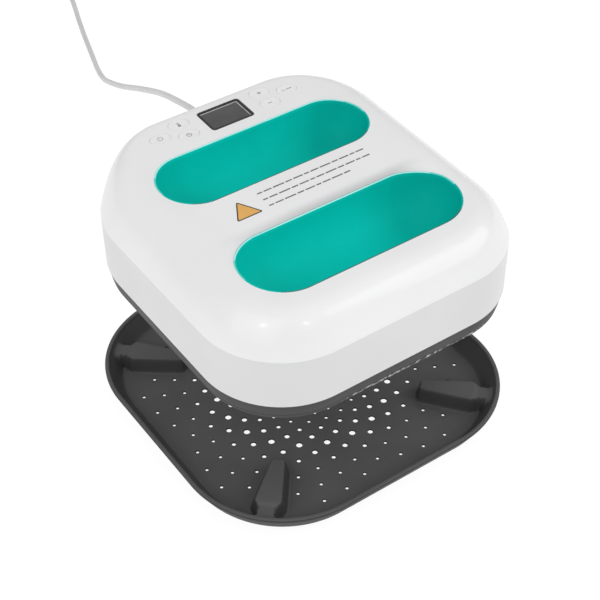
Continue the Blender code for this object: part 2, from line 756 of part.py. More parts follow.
def main():
    clear_scene()
    white = material("gloss_white_plastic", (0.83, 0.83, 0.82), 0.22)
    key_white = material("key_white_plastic", (0.80, 0.80, 0.79), 0.35)
    teal = material("teal_plastic", (0.0, 0.45, 0.37), 0.38)
    tray_grey = material("tray_dark_grey", (0.075, 0.075, 0.078), 0.55)
    ring_grey = material("ring_dark_grey", (0.060, 0.060, 0.063), 0.48)
    black = material("gloss_black_plastic", (0.012, 0.012, 0.014), 0.18)
    glass = material("display_glass", (0.10, 0.10, 0.11), 0.08)
    board = material("circuit_board_green", (0.02, 0.16, 0.07), 0.45)
    switch = material("switch_black", (0.03, 0.03, 0.03), 0.5)
    coating = material("non_stick_coating", (0.05, 0.05, 0.052), 0.35)
    steel = material("galvanised_steel", (0.60, 0.61, 0.62), 0.35, 1.0)
    sheath = material("element_steel", (0.35, 0.34, 0.33), 0.4, 1.0)
    fibre = material("ceramic_fibre", (0.80, 0.78, 0.72), 0.95)
    nylon = material("terminal_nylon", (0.78, 0.76, 0.68), 0.5)
    rubber = material("foot_rubber", (0.02, 0.02, 0.02), 0.8)
    cord_grey = material("cord_light_grey", (0.62, 0.62, 0.61), 0.5)
    blade = material("plug_blade_metal", (0.80, 0.72, 0.45), 0.3, 1.0)

    build_tray(tray_grey)
    build_feet(rubber)
    build_shell(white)
    build_well("rear_grip_well", REAR_WELL, teal)
    build_well("front_grip_well", FRONT_WELL, teal)
    build_display(black, glass, board)
    build_keys(key_white)
    build_switches(switch)
    build_control_board(board)
    build_base_ring(ring_grey)
    build_screws(steel)
    shield_top = build_hot_parts(coating, sheath, fibre, steel)
    build_power_parts(shield_top, board, switch, nylon)
    build_strain_relief(cord_grey)
    build_cord(cord_grey, switch)
    build_plug(cord_grey, blade)


main()
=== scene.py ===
"""Looks of the heat press and its stand tray: fine surfaces, materials, cord, light and camera.

Metres, +Z up, in the same frame as the CAD model. The press hangs above the tray, which stands on
the floor at z = 0. +X runs along the grip wells, and +Y points to the back.
"""

import math

import bpy
import bmesh
from mathutils import Matrix, Vector
from mathutils.geometry import delaunay_2d_cdt


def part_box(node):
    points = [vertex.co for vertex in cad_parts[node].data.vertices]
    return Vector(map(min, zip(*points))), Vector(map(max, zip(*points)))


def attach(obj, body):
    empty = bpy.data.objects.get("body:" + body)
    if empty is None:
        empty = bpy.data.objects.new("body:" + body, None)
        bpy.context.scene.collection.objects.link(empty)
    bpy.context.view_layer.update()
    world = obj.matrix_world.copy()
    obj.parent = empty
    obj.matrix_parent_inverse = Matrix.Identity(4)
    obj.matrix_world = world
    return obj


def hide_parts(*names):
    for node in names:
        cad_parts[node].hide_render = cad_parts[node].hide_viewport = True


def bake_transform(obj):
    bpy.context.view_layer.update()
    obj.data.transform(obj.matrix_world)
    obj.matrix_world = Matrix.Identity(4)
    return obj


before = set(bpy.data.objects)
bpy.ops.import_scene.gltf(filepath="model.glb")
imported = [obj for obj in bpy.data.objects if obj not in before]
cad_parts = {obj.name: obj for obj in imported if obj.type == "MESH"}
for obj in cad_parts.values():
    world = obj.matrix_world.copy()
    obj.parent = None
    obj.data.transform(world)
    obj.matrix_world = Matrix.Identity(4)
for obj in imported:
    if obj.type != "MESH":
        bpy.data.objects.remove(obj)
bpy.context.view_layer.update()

BUTTONS = ("power", "temperature", "timer", "plus", "minus", "start")
Z_AXIS = Vector((0.0, 0.0, 1.0))


def node_box(node):
    low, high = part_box(node)
    return Vector(low), Vector(high)


def plan_box(node):
    """Middle and half size of a node's box, seen from above."""
    low, high = node_box(node)
    return ((low.x + high.x) / 2, (low.y + high.y) / 2), ((high.x - low.x) / 2, (high.y - low.y) / 2)


# Shape of the press, which repeats the CAD model's surface --------------------------------------

SHELL_LOW, SHELL_HIGH = node_box("top_shell")
SHELL_Z = SHELL_LOW.z
HALF_X = SHELL_HIGH.x
HALF_Y = SHELL_HIGH.y
FRONT_RADIUS = 0.0773
REAR_RADIUS = 0.0905
SHELL_WALL = 0.0028
SIDE_HEIGHT = 0.050
CROWN_HEIGHT = 0.0398
CROWN_SIDE = 0.0443
CROWN_FRONT = 0.0320
CROWN_REAR = 0.0200
CROWN_POWER = 2.8
TOP_SLOPE = 0.028

WELL_DEPTH = 0.0455
WELL_POWER = 2.2
WELLS = {}
for node in ("rear_grip_well", "front_grip_well"):
    centre, half = plan_box(node)
    WELLS[node] = (centre[1], *half)

KEY_CENTRES = {button: plan_box(f"{button}_button")[0] for button in BUTTONS}
KEY_HALF = (0.0100, 0.0062)
KEY_GAP = 0.00014

DISPLAY_CENTRE, DISPLAY_HALF = plan_box("display_bezel")
DISPLAY_CORNER = 0.0035


# Shader nodes -----------------------------------------------------------------------------------


def add_node(tree, kind, sockets=None, **settings):
    """Adds a shader node. Each of its sockets takes a constant, or another node's output to link from."""
    node = tree.nodes.new("ShaderNode" + kind)
    for name, value in settings.items():
        setattr(node, name, value)
    for name, value in (sockets or {}).items():
        if isinstance(value, bpy.types.NodeSocket):
            tree.links.new(value, node.inputs[name])
        else:
            node.inputs[name].default_value = value
    return node


def set_inputs(made, values):
    """Sets constants on a material's shader."""
    for name, value in values.items():
        made.node_tree.nodes["Principled BSDF"].inputs[name].default_value = value


def calculate(tree, operation, first, second=0.0):
    return add_node(tree, "Math", {0: first, 1: second}, operation=operation).outputs["Value"]


def product(tree, first, *others):
    for factor in others:
        first = calculate(tree, "MULTIPLY", first, factor)
    return first


def axis_value(tree, space, axis):
    """One axis of the places ("Object", "Generated") or normals ("Normal") of a piece."""
    place = add_node(tree, "TexCoord").outputs[space]
    return add_node(tree, "SeparateXYZ", {"Vector": place}).outputs[axis]


def ramp(tree, value, low, high, share_low, share_high):
    """Eases from one share to another as a value goes from low to high."""
    stops = {"Value": value, "From Min": low, "From Max": high, "To Min": share_low, "To Max": share_high}
    return add_node(tree, "MapRange", stops, interpolation_type="SMOOTHSTEP").outputs["Result"]


# Camera, floor and light ------------------------------------------------------------------------

CAMERA_AZIMUTH = math.radians(-34.597)
CAMERA_ELEVATION = math.radians(42.059)
CAMERA_ROLL = math.radians(-0.569)
CAMERA_DISTANCE = 1.3771
CAMERA_LIFT = 0.08225  # how far the line of sight passes above the origin, across the view
CAMERA_LENS = 85.167


def make_camera():
    """A long lens above the front left corner, looking down on the press."""
    back = Vector((
        math.sin(CAMERA_AZIMUTH) * math.cos(CAMERA_ELEVATION),
        -math.cos(CAMERA_AZIMUTH) * math.cos(CAMERA_ELEVATION),
        math.sin(CAMERA_ELEVATION),
    ))
    right = Vector((math.cos(CAMERA_AZIMUTH), math.sin(CAMERA_AZIMUTH), 0.0))
    up = back.cross(right)
    place = back * CAMERA_DISTANCE + up * CAMERA_LIFT
    turn = Matrix.Rotation(CAMERA_ROLL, 3, back)
    data = bpy.data.cameras.new("camera")
    data.lens = CAMERA_LENS
    data.sensor_width = 36.0
    data.clip_end = 20.0
    camera = bpy.data.objects.new("camera", data)
    bpy.context.scene.collection.objects.link(camera)
    columns = (turn @ right, turn @ up, back, place)
    camera.matrix_world = Matrix((*zip(*columns), (0.0, 0.0, 0.0, 1.0)))
    bpy.context.scene.camera = camera


def area_light(name, place, target, size, power):
    data = bpy.data.lights.new(name, "AREA")
    data.shape = "RECTANGLE"
    data.size, data.size_y = size
    data.energy = power
    lamp = bpy.data.objects.new(name, data)
    bpy.context.scene.collection.objects.link(lamp)
    lamp.location = place
    lamp.rotation_euler = (Vector(target) - Vector(place)).to_track_quat("-Z", "Y").to_euler()


HORIZON_GLOW = 0.52
ZENITH_GLOW = 0.88


def make_room():
    """A white room, brightest overhead and dimmer towards the horizon."""
    world = bpy.data.worlds.new("room")
    world.use_nodes = True
    tree = world.node_tree
    background = tree.nodes["Background"]
    background.inputs["Color"].default_value = (1.0, 1.0, 1.0, 1.0)
    glow = ramp(tree, axis_value(tree, "Generated", "Z"), 0.08, 1.0, HORIZON_GLOW, ZENITH_GLOW)
    tree.links.new(glow, background.inputs["Strength"])
    bpy.context.scene.world = world


def make_light():
    """A bright room, a large soft box on either side, and two small ones in front."""
    make_room()
    middle = (0.0, 0.0, 0.20)
    area_light("right_wash", (1.55, -1.30, 1.15), middle, (1.8, 1.4), 14.5)
    area_light("left_wash", (-1.75, -0.60, 1.35), middle, (2.2, 2.0), 14.5)
    area_light("left_spark", (-1.25, -0.65, 1.10), middle, (0.16, 0.22), 1.0)
    area_light("right_spark", (-0.15, -1.45, 1.10), middle, (0.16, 0.22), 1.0)
    bpy.context.scene.view_settings.view_transform = "Standard"


def make_floor():
    """A white sweep that glows, so that it stays white under the tray's holes."""
    bm = bmesh.new()
    bmesh.ops.create_grid(bm, x_segments=8, y_segments=8, size=40.0)
    mesh = bpy.data.meshes.new("floor")
    bm.to_mesh(mesh)
    bm.free()
    made = bpy.data.materials.new("white_floor")
    made.use_nodes = True
    set_inputs(made, {"Base Color": (0.12, 0.12, 0.12, 1.0), "Roughness": 0.9, "Specular IOR Level": 0.1})
    set_inputs(made, {"Emission Color": (1.0, 1.0, 1.0, 1.0), "Emission Strength": 0.92})
    mesh.materials.append(made)
    floor = bpy.data.objects.new("floor", mesh)
    bpy.context.scene.collection.objects.link(floor)


# Materials --------------------------------------------------------------------------------------


def grey(value):
    return (value, value, value * 1.01)


def moulded(name, dark, light, roughness, spread, mottle, grain, depth=0.0, specular=0.5, metal=0.0):
    """A moulded plastic or metal: two close tones in soft patches, and a fine grain in gloss and relief."""
    made = bpy.data.materials.new(name)
    made.use_nodes = True
    tree = made.node_tree
    shader = tree.nodes["Principled BSDF"]
    place = add_node(tree, "TexCoord").outputs["Object"]
    patches = add_node(tree, "TexNoise", {"Vector": place, "Scale": mottle, "Detail": 3.0})
    tones = add_node(tree, "ValToRGB", {"Fac": patches.outputs["Fac"]})
    for stop, position, tone in zip(tones.color_ramp.elements, (0.35, 0.65), (dark, light)):
        stop.position = position
        stop.color = (*(grey(tone) if isinstance(tone, float) else tone), 1.0)
    fine = add_node(tree, "TexNoise", {"Vector": place, "Scale": grain, "Detail": 2.0}).outputs["Fac"]
    gloss = {"Value": fine, "To Min": roughness - spread, "To Max": roughness + spread}
    tree.links.new(tones.outputs["Color"], shader.inputs["Base Color"])
    tree.links.new(add_node(tree, "MapRange", gloss).outputs["Result"], shader.inputs["Roughness"])
    if depth:
        bump = add_node(tree, "Bump", {"Strength": 0.5, "Distance": depth, "Height": fine})
        tree.links.new(bump.outputs["Normal"], shader.inputs["Normal"])
    set_inputs(made, {"Specular IOR Level": specular, "Metallic": metal})
    return made


def colour_input(made):
    return made.node_tree.nodes["Principled BSDF"].inputs["Base Color"]


def tint(made, factor):
    """Multiplies a material's colour by the value of a socket."""
    colour = colour_input(made)
    sockets = {"Vector": colour.links[0].from_socket, "Scale": factor}
    scaled = add_node(made.node_tree, "VectorMath", sockets, operation="SCALE")
    made.node_tree.links.new(scaled.outputs["Vector"], colour)


# Strength of the painted shade along the front well's rear edge
BRIDGE_PAINTED_SHADE = 0.34


def paint_bridge_shade(made):
    """Painted shade: the bridge's colour greys softly over the last centimetre before the front well."""
    middle, half_length, half_width = WELLS["front_grip_well"]
    edge = middle + half_width
    tree = made.node_tree
    x = axis_value(tree, "Object", "X")
    y = axis_value(tree, "Object", "Y")
    near_edge = ramp(tree, y, edge, edge + 0.0105, BRIDGE_PAINTED_SHADE, 0.0)
    past_middle = ramp(tree, y, middle, middle + 0.001, 0.0, 1.0)
    straight = ramp(tree, calculate(tree, "ABSOLUTE", x), half_length - 0.040, half_length, 1.0, 0.0)
    left_end = ramp(tree, x, -half_length, 0.0, 0.45, 1.0)
    tint(made, calculate(tree, "SUBTRACT", 1.0, product(tree, near_edge, past_middle, straight, left_end)))


def add_flecks(made, low, high, fleck_colour):
    """Adds bright flecks between two heights of the skirt, along its front."""
    tree = made.node_tree
    x, y, z = (axis_value(tree, "Object", axis) for axis in "XYZ")
    above = calculate(tree, "GREATER_THAN", z, low)
    below = calculate(tree, "LESS_THAN", z, high)
    front = ramp(tree, y, -0.150, -0.143, 1.0, 0.0)
    right = ramp(tree, x, -0.075, -0.030, 0.0, 1.0)
    place = add_node(tree, "TexCoord").outputs["Object"]
    flecks = add_node(tree, "TexNoise", {"Vector": place, "Scale": 260.0, "Detail": 4.0})
    steps = add_node(tree, "ValToRGB", {"Fac": flecks.outputs["Fac"]})
    steps.color_ramp.elements[0].position = 0.50
    steps.color_ramp.elements[1].position = 0.62
    share = product(tree, above, below, front, right, steps.outputs["Color"])
    colour = colour_input(made)
    sockets = {"Factor": share, "A": colour.links[0].from_socket, "B": (*fleck_colour, 1.0)}
    mix = add_node(tree, "Mix", sockets, data_type="RGBA")
    tree.links.new(mix.outputs["Result"], colour)


def make_materials():
    """Every finish by its short name. See moulded() for what each row's numbers are."""
    rows = {
        "white": ("gloss_white", 0.73, 0.76, 0.30, 0.02, 9.0, 500.0, 0.0, 0.35),
        # white_side: the shell's white made darker for the upright side, as painted shade
        "white_side": ("white_side_painted_shade", 0.62, 0.65, 0.34, 0.02, 9.0, 500.0, 0.0, 0.35),
        "key": ("satin_white_keys", 0.74, 0.77, 0.34, 0.04, 30.0, 900.0, 0.000008),
        "teal": ("satin_teal", (0.0, 0.5, 0.43), (0.0, 0.54, 0.47), 0.6, 0.05, 16.0, 1200.0, 0.00001, 0.05),
        # The three bead teals paint light: a pale painted highlight, a softer painted highlight and a dark
        # painted shadow line.
        "pale_teal_painted_highlight": (
            "pale_teal_painted_highlight", (0.34, 0.78, 0.75), (0.42, 0.84, 0.81), 0.4, 0.05, 40.0, 1200.0, 0.0, 0.3,
        ),
        "teal_soft": ("soft_teal_painted_highlight", (0.10, 0.62, 0.56), (0.13, 0.66, 0.60), 0.5, 0.05, 40.0, 1200.0),
        "teal_painted_shadow": ("teal_shadow_line", (0.01, 0.17, 0.15), (0.02, 0.21, 0.18), 0.6, 0.05, 40.0, 1200.0),
        "tray": ("matte_tray_grey", 0.090, 0.100, 0.60, 0.06, 22.0, 1500.0, 0.00003, 0.2),
        # The hole walls' near-black grey is painted shade.
        "bore": ("tray_hole_walls_painted_shade", 0.016, 0.022, 0.7, 0.06, 60.0, 900.0, 0.0, 0.1),
        "ring": ("satin_ring_grey", 0.052, 0.060, 0.48, 0.05, 22.0, 1300.0, 0.00002, 0.2),
        "black": ("gloss_black_frame", 0.006, 0.010, 0.22, 0.04, 40.0, 900.0),
        "window": ("grey_display_window", 0.050, 0.062, 0.40, 0.04, 60.0, 1500.0),
        "lcd_edge": ("display_edge_light", 0.33, 0.42, 0.35, 0.04, 60.0, 900.0),
        "print": ("grey_print", 0.13, 0.18, 0.55, 0.04, 200.0, 1500.0),
        "dark_print": ("black_print", 0.018, 0.026, 0.5, 0.04, 200.0, 1500.0),
        "amber": ("amber_print", (0.66, 0.35, 0.08), (0.70, 0.38, 0.09), 0.5, 0.04, 200.0, 1500.0),
        "cord": ("grey_cord_sheath", 0.56, 0.60, 0.42, 0.05, 60.0, 900.0, 0.00002),
        "board": ("green_solder_mask", (0.012, 0.11, 0.045), (0.02, 0.15, 0.06), 0.38, 0.05, 90.0, 900.0),
        "switch": ("matte_black_nylon", 0.022, 0.032, 0.5, 0.05, 120.0, 1200.0, 0.00002),
        "steel": ("zinc_plated_steel", 0.52, 0.62, 0.34, 0.08, 160.0, 1100.0, 0.00001, 0.5, 1.0),
        "sheath": (
            "element_sheath_steel", (0.30, 0.28, 0.26), (0.38, 0.37, 0.36),
            0.42, 0.08, 90.0, 900.0, 0.00001, 0.5, 1.0,
        ),
        "coating": ("non_stick_coating", 0.035, 0.045, 0.34, 0.06, 60.0, 1800.0, 0.00002),
        "fibre": (
            "ceramic_fibre_blanket", (0.74, 0.71, 0.65), (0.83, 0.81, 0.76),
            0.93, 0.05, 60.0, 500.0, 0.0003,
        ),
        "nylon": ("natural_nylon", (0.72, 0.7, 0.61), (0.78, 0.76, 0.68), 0.48, 0.05, 60.0, 900.0, 0.00002),
        "rubber": ("foot_rubber", 0.018, 0.028, 0.78, 0.06, 80.0, 1300.0, 0.00004),
        "blade": (
            "plated_blade_metal", (0.72, 0.62, 0.36), (0.80, 0.71, 0.45),
            0.27, 0.06, 200.0, 1400.0, 0.0, 0.5, 1.0,
        ),
    }
    made = {short: moulded(*row) for short, row in rows.items()}
    set_inputs(made["white"], {"Coat Weight": 0.4, "Coat Roughness": 0.07})
    paint_bridge_shade(made["white"])
    # Painted shade on the tray: steep faces, such as the walls and the supports' flanks, darken to under
    # half the grey of flat ones.
    tree = made["tray"].node_tree
    tint(made["tray"], ramp(tree, axis_value(tree, "Normal", "Z"), 0.30, 0.96, 0.44, 1.0))
    # Painted shade in the wells: the bowls darken towards their right ends.
    tree = made["teal"].node_tree
    tint(made["teal"], ramp(tree, axis_value(tree, "Object", "X"), 0.01, 0.10, 1.0, 0.83))
    return made


# Mesh helpers -----------------------------------------------------------------------------------


def add_piece(name, mesh, finishes, body, slot, replaces=(), smooth_angle=None):
    """Puts a mesh into the scene on its body, with one finish or a list of them."""
    for finish in finishes if isinstance(finishes, list) else [finishes]:
        mesh.materials.append(finish)
    mesh.shade_smooth()
    if smooth_angle is not None:
        mesh.set_sharp_from_angle(angle=math.radians(smooth_angle))
    piece = bpy.data.objects.new(name, mesh)
    bpy.context.scene.collection.objects.link(piece)
    if body is not None:
        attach(piece, body)
    if replaces:
        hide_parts(*replaces)
    return piece


def mesh_from(bm, name):
    bmesh.ops.recalc_face_normals(bm, faces=bm.faces)
    mesh = bpy.data.meshes.new(name)
    bm.to_mesh(mesh)
    bm.free()
    return mesh


def outline(half_x, half_y, radius, centre=(0.0, 0.0), steps=24, rear_radius=None):
    """A rounded rectangle, anticlockwise. Its two rear corners can have a radius of their own."""
    points = []
    for quarter, (side_x, side_y) in enumerate(((1, 1), (-1, 1), (-1, -1), (1, -1))):
        corner = rear_radius if side_y > 0 and rear_radius is not None else radius
        for step in range(steps + 1):
            angle = math.radians(90 * (quarter + step / steps))
            x = side_x * (half_x - corner) + corner * math.cos(angle)
            y = side_y * (half_y - corner) + corner * math.sin(angle)
            points.append((centre[0] + x, centre[1] + y))
    return points


def stadium(half_length, half_width, centre, steps):
    return outline(half_length, half_width, half_width - 0.00002, centre, steps)


def join_loops(bm, low, high):
    count = len(low)
    for i in range(count):
        after = (i + 1) % count
        bm.faces.new((low[i], low[after], high[after], high[i]))


def skin(bm, rings, closed=False):
    """Skins rings of equal length. Open lofts get end faces, closed ones join last to first."""
    loops = [[bm.verts.new(point) for point in ring] for ring in rings]
    for low, high in zip(loops, loops[1:]):
        join_loops(bm, low, high)
    if closed:
        join_loops(bm, loops[-1], loops[0])
    else:
        bm.faces.new(loops[0])
        bm.faces.new(loops[-1])


def loft_mesh(name, rings, closed=False):
    bm = bmesh.new()
    skin(bm, rings, closed)
    return mesh_from(bm, name)


def circle(x, y, radius, sides):
    angles = [2 * math.pi * side / sides for side in range(sides)]
    return [(x + radius * math.cos(angle), y + radius * math.sin(angle)) for angle in angles]


def add_loft(name, rings, *settings, closed=False):
    """Adds a loft as a piece. Its settings are those of add_piece, from the finishes on."""
    return add_piece(name, loft_mesh(name, rings, closed), *settings)


def turned_rings(profile, place, axis):
    """Rings round an axis: profile lists (radius, height) along it."""
    turn = Z_AXIS.rotation_difference(Vector(axis))
    rings = []
    for radius, height in profile:
        flat = circle(0.0, 0.0, radius, 32)
        rings.append([turn @ Vector((x, y, height)) + Vector(place) for x, y in flat])
    return rings


def rounded_edge(profile, radius, steps=4):
    """Rounds the corners of an open profile of (across, up) points with small arcs."""
    rounded = [profile[0]]
    for before, corner, after in zip(profile, profile[1:], profile[2:]):
        a, b, c = (Vector((*point, 0.0)) for point in (before, corner, after))
        reach = min(radius, (a - b).length * 0.45, (c - b).length * 0.45)
        start = b + (a - b).normalized() * reach
        end = b + (c - b).normalized() * reach
        for step in range(steps + 1):
            t = step / steps
            point = start * (1 - t) ** 2 + b * (2 * t * (1 - t)) + end * t**2
            rounded.append((point.x, point.y))
    rounded.append(profile[-1])
    return rounded


def inside_loop(x, y, loop):
    inside = False
    for (x1, y1), (x2, y2) in zip(loop, loop[1:] + loop[:1]):
        if (y1 > y) != (y2 > y) and x < x1 + (y - y1) * (x2 - x1) / (y2 - y1):
            inside = not inside
    return inside


def smoothstep(low, high, value):
    t = min(max((value - low) / (high - low), 0.0), 1.0)
    return t * t * (3 - 2 * t)


def hex_points(half_x, half_y, spacing):
    """An even field of points, in staggered rows."""
    points = []
    row_height = spacing * math.sqrt(3) / 2
    rows = int(half_y / row_height)
    columns = int(half_x / spacing) + 1
    for row in range(-rows, rows + 1):
        shift = 0.5 * spacing * (row % 2)
        for column in range(-columns, columns + 1):
            x = column * spacing + shift
            if abs(x) <= half_x:
                points.append((x, row * row_height))
    return points


def sheet(boundary, openings, rings, free_points):
    """Triangulates a boundary round its openings: (points, faces). rings are loops that edges follow."""
    loops = [boundary, *openings, *rings]
    flat = [Vector(point) for loop in loops for point in loop]
    edges = []
    start = 0
    for loop in loops:
        edges += [(start + i, start + (i + 1) % len(loop)) for i in range(len(loop))]
        start += len(loop)
    flat += [Vector(point) for point in free_points]
    points, _, faces, _, _, _ = delaunay_2d_cdt(flat, edges, [], 0, 1e-6)
    boxes = []
    for loop in openings:
        xs = [point[0] for point in loop]
        ys = [point[1] for point in loop]
        boxes.append((min(xs), max(xs), min(ys), max(ys), loop))
    kept = []
    for face in faces:
        x = sum(points[i].x for i in face) / len(face)
        y = sum(points[i].y for i in face) / len(face)
        hidden = False
        for x1, x2, y1, y2, loop in boxes:
            if x1 < x < x2 and y1 < y < y2 and inside_loop(x, y, loop):
                hidden = True
                break
        if not hidden and inside_loop(x, y, boundary):
            kept.append(face)
    return points, kept


# Surface of the press ---------------------------------------------------------------------------


def plan(inset):
    front = FRONT_RADIUS - inset
    return outline(HALF_X - inset, HALF_Y - inset, front, rear_radius=REAR_RADIUS - inset)


def crown_frame(share):
    side = CROWN_SIDE * share
    half_x = HALF_X - side
    half_y = HALF_Y - share * (CROWN_FRONT + CROWN_REAR) / 2
    middle = share * (CROWN_FRONT - CROWN_REAR) / 2
    return half_x, half_y, FRONT_RADIUS - side, REAR_RADIUS - side, middle


def crown_height(y, share):
    rise = 1 - (1 - share) ** CROWN_POWER
    return SHELL_Z + SIDE_HEIGHT + (CROWN_HEIGHT + TOP_SLOPE * y) * rise


def crown_ring(share):
    half_x, half_y, front, rear, middle = crown_frame(share)
    return outline(half_x, half_y, front, (0.0, middle), rear_radius=rear)


def from_rounded_box(x, y, centre, half_x, half_y, radius):
    """Distance from a rounded rectangle's outline, positive outside it."""
    reach_x = abs(x - centre[0]) - (half_x - radius)
    reach_y = abs(y - centre[1]) - (half_y - radius)
    outside = math.hypot(max(reach_x, 0.0), max(reach_y, 0.0))
    return outside + min(max(reach_x, reach_y), 0.0) - radius


def from_stadium(x, y, centre, half_length, half_width):
    return from_rounded_box(x, y, centre, half_length, half_width, half_width)


def from_crown(x, y, share):
    """Distance from one of the crown's rings, positive outside it."""
    half_x, half_y, front, rear, middle = crown_frame(share)
    return from_rounded_box(x, y, (0.0, middle), half_x, half_y, rear if y > middle else front)


def crown_surface(x, y):
    """Height of the shell's outer face over a point of its plan, without its openings' soft edges."""
    low = 0.0
    high = 1.0
    for _ in range(26):
        share = (low + high) / 2
        if from_crown(x, y, share) < 0:
            low = share
        else:
            high = share
    return crown_height(y, low)


def round_over(distance, radius):
    """How far a rounded edge has dropped at a distance outside its opening."""
    if distance >= radius:
        return 0.0
    reach = radius - max(distance, 0.0)
    return radius - math.sqrt(max(radius**2 - reach**2, 0.0))


WELL_EDGE = 0.0003
ROLL_WIDTH = 0.0095
ROLL_DEPTH = 0.0030
PANEL_EDGE = 0.00022


def roll_drop(y, name, distance):
    """The bridge rolls down towards the front well along that well's rear side."""
    if name != "front_grip_well" or distance >= ROLL_WIDTH:
        return 0.0
    middle, _, half_width = WELLS[name]
    side = smoothstep(0.15, 0.95, (y - middle) / half_width)
    return side * ROLL_DEPTH * (1 - max(distance, 0.0) / ROLL_WIDTH) ** 2


def opening_distances(x, y, gap=0.0):
    """Distance of a point outside each opening in the top, with the opening's name."""
    for name, (middle, half_length, half_width) in WELLS.items():
        yield name, from_stadium(x, y, (0.0, middle), half_length, half_width)
    half_x, half_y = (half + gap for half in DISPLAY_HALF)
    yield "display", from_rounded_box(x, y, DISPLAY_CENTRE, half_x, half_y, DISPLAY_CORNER)
    half_x, half_y = (half + gap for half in KEY_HALF)
    for button, centre in KEY_CENTRES.items():
        yield button, from_stadium(x, y, centre, half_x, half_y)


def shell_surface(x, y):
    """Height of the finished shell, with the soft edges of its openings."""
    height = crown_surface(x, y)
    for name, distance in opening_distances(x, y, KEY_GAP):
        edge = WELL_EDGE if name in WELLS else PANEL_EDGE
        height -= roll_drop(y, name, distance) + round_over(distance, edge)
    return height


def surface_normal(height, x, y):
    """Upward normal of a height function, from its slopes."""
    step = 0.00012
    slope_x = (height(x + step, y) - height(x - step, y)) / (2 * step)
    slope_y = (height(x, y + step) - height(x, y - step)) / (2 * step)
    return Vector((-slope_x, -slope_y, 1.0)).normalized()


def well_outline(name, grow):
    middle, half_length, half_width = WELLS[name]
    return stadium(half_length + grow, half_width + grow, (0.0, middle), 32)


def shell_openings(grow):
    """Outlines of all the openings in the top, grown by a distance."""
    loops = [well_outline(name, 0.0003 + grow) for name in WELLS]
    half_x, half_y = (half + KEY_GAP + grow for half in DISPLAY_HALF)
    loops.append(outline(half_x, half_y, DISPLAY_CORNER + grow, DISPLAY_CENTRE, 6))
    half_x, half_y = (half + KEY_GAP + grow for half in KEY_HALF)
    for centre in KEY_CENTRES.values():
        loops.append(stadium(half_x, half_y, centre, 10))
    return loops


TOP_SHARE = 0.60  # inside this ring of the crown the shell is a sheet with openings


def build_shell(finishes):
    """White top shell: upright satin side with painted shade, crown, and a top whose openings have rounded
    edges.
    """
    bm = bmesh.new()
    normals = {}
    loops = []
    for height in (0.0, 0.0006, 0.016, 0.033, SIDE_HEIGHT - 0.0012):
        foot = plan(0.0 if height else 0.0005)
        loop = [bm.verts.new((x, y, SHELL_Z + height)) for x, y in foot]
        for i, vert in enumerate(loop):
            along = loop[(i + 1) % len(loop)].co - loop[i - 1].co
            outward = Vector((along.y, -along.x, 0.0)).normalized()
            if not height:
                outward = (outward + Vector((0.0, 0.0, -0.7))).normalized()
            normals[vert] = outward
        loops.append(loop)
    for share in (0.0, 0.02, 0.05, 0.09, 0.14, 0.20, 0.27, 0.35, 0.43, 0.52):
        loop = []
        for x, y in crown_ring(share):
            vert = bm.verts.new((x, y, crown_height(y, share)))
            up = surface_normal(crown_surface, x * 0.9995, y * 0.9995)
            if share == 0.0:
                flat = Vector((up.x, up.y, 0.0)).normalized()
                up = (flat + up).normalized()
            normals[vert] = up
            loop.append(vert)
        loops.append(loop)
    for low, high in zip(loops, loops[1:]):
        join_loops(bm, low, high)

    rings = []
    for grow in (0.0001, 0.0003, 0.0006, 0.0010, 0.0016):
        rings += [loop for loop in shell_openings(grow) if grow < 0.0005 or len(loop) > 60]
    rings += [crown_ring(share) for share in (0.66, 0.72, 0.78, 0.84)]
    free = []
    for x, y in hex_points(HALF_X, HALF_Y, 0.0034):
        clear = min(distance for _, distance in opening_distances(x, y))
        if from_crown(x, y, 0.86) <= -0.001 and clear > 0.0030:
            free.append((x, y))
    boundary = crown_ring(TOP_SHARE)
    points, faces = sheet(boundary, shell_openings(0.0), rings, free)
    verts = [bm.verts.new((*point, shell_surface(*point))) for point in points]
    for vert, point in zip(verts, points):
        normals[vert] = surface_normal(shell_surface, *point)
    for face in faces:
        bm.faces.new([verts[i] for i in face])
    join_loops(bm, loops[-1], verts[: len(boundary)])
    for vert in [vert for vert in verts if not vert.link_faces]:
        del normals[vert]
        bm.verts.remove(vert)

    thicken(bm, normals, SHELL_WALL)
    bm.verts.index_update()
    order = [normals[vert] for vert in bm.verts]
    mesh = bpy.data.meshes.new("top_shell_surface")
    bm.to_mesh(mesh)
    bm.free()
    # The side's faces take the darker copy of the white: painted shade.
    for polygon in mesh.polygons:
        if polygon.center.z < SHELL_Z + SIDE_HEIGHT:
            polygon.material_index = 1
    add_piece("top_shell_surface", mesh, finishes, "press", "gloss_white_plastic", ("top_shell",))
    mesh.normals_split_custom_set_from_vertices(order)


def thicken(bm, normals, wall):
    """Gives an open surface an inner face one wall behind it, and closes its edges."""
    bmesh.ops.recalc_face_normals(bm, faces=bm.faces)
    if sum(face.normal.z for face in bm.faces) < 0:
        bmesh.ops.reverse_faces(bm, faces=bm.faces)
    outer = list(bm.verts)
    outer_faces = list(bm.faces)
    borders = [edge for edge in bm.edges if len(edge.link_faces) == 1]
    inner = {}
    for vert in outer:
        outward = normals[vert]
        inner[vert] = bm.verts.new(vert.co - Vector((*outward.xy, max(outward.z, 0.0))) * wall)
        normals[inner[vert]] = -outward
    for face in outer_faces:
        bm.faces.new([inner[vert] for vert in reversed(face.verts)])
    for edge in borders:
        loop = edge.link_loops[0]
        a = loop.vert
        b = loop.link_loop_next.vert
        bm.faces.new((b, a, inner[a], inner[b]))


# (distance inside the opening, depth) of the bead round a well, from its outer foot to the bowl
WELL_BEAD = ((-0.00025, 0.0016), (-0.00025, 0.0004), (-0.0002, 0.0001), (0.0001, 0.0), (0.0009, 0.0001))
BOWL_INSET = 0.0013
BOWL_TOP = 0.0004
SKIN = 0.0005


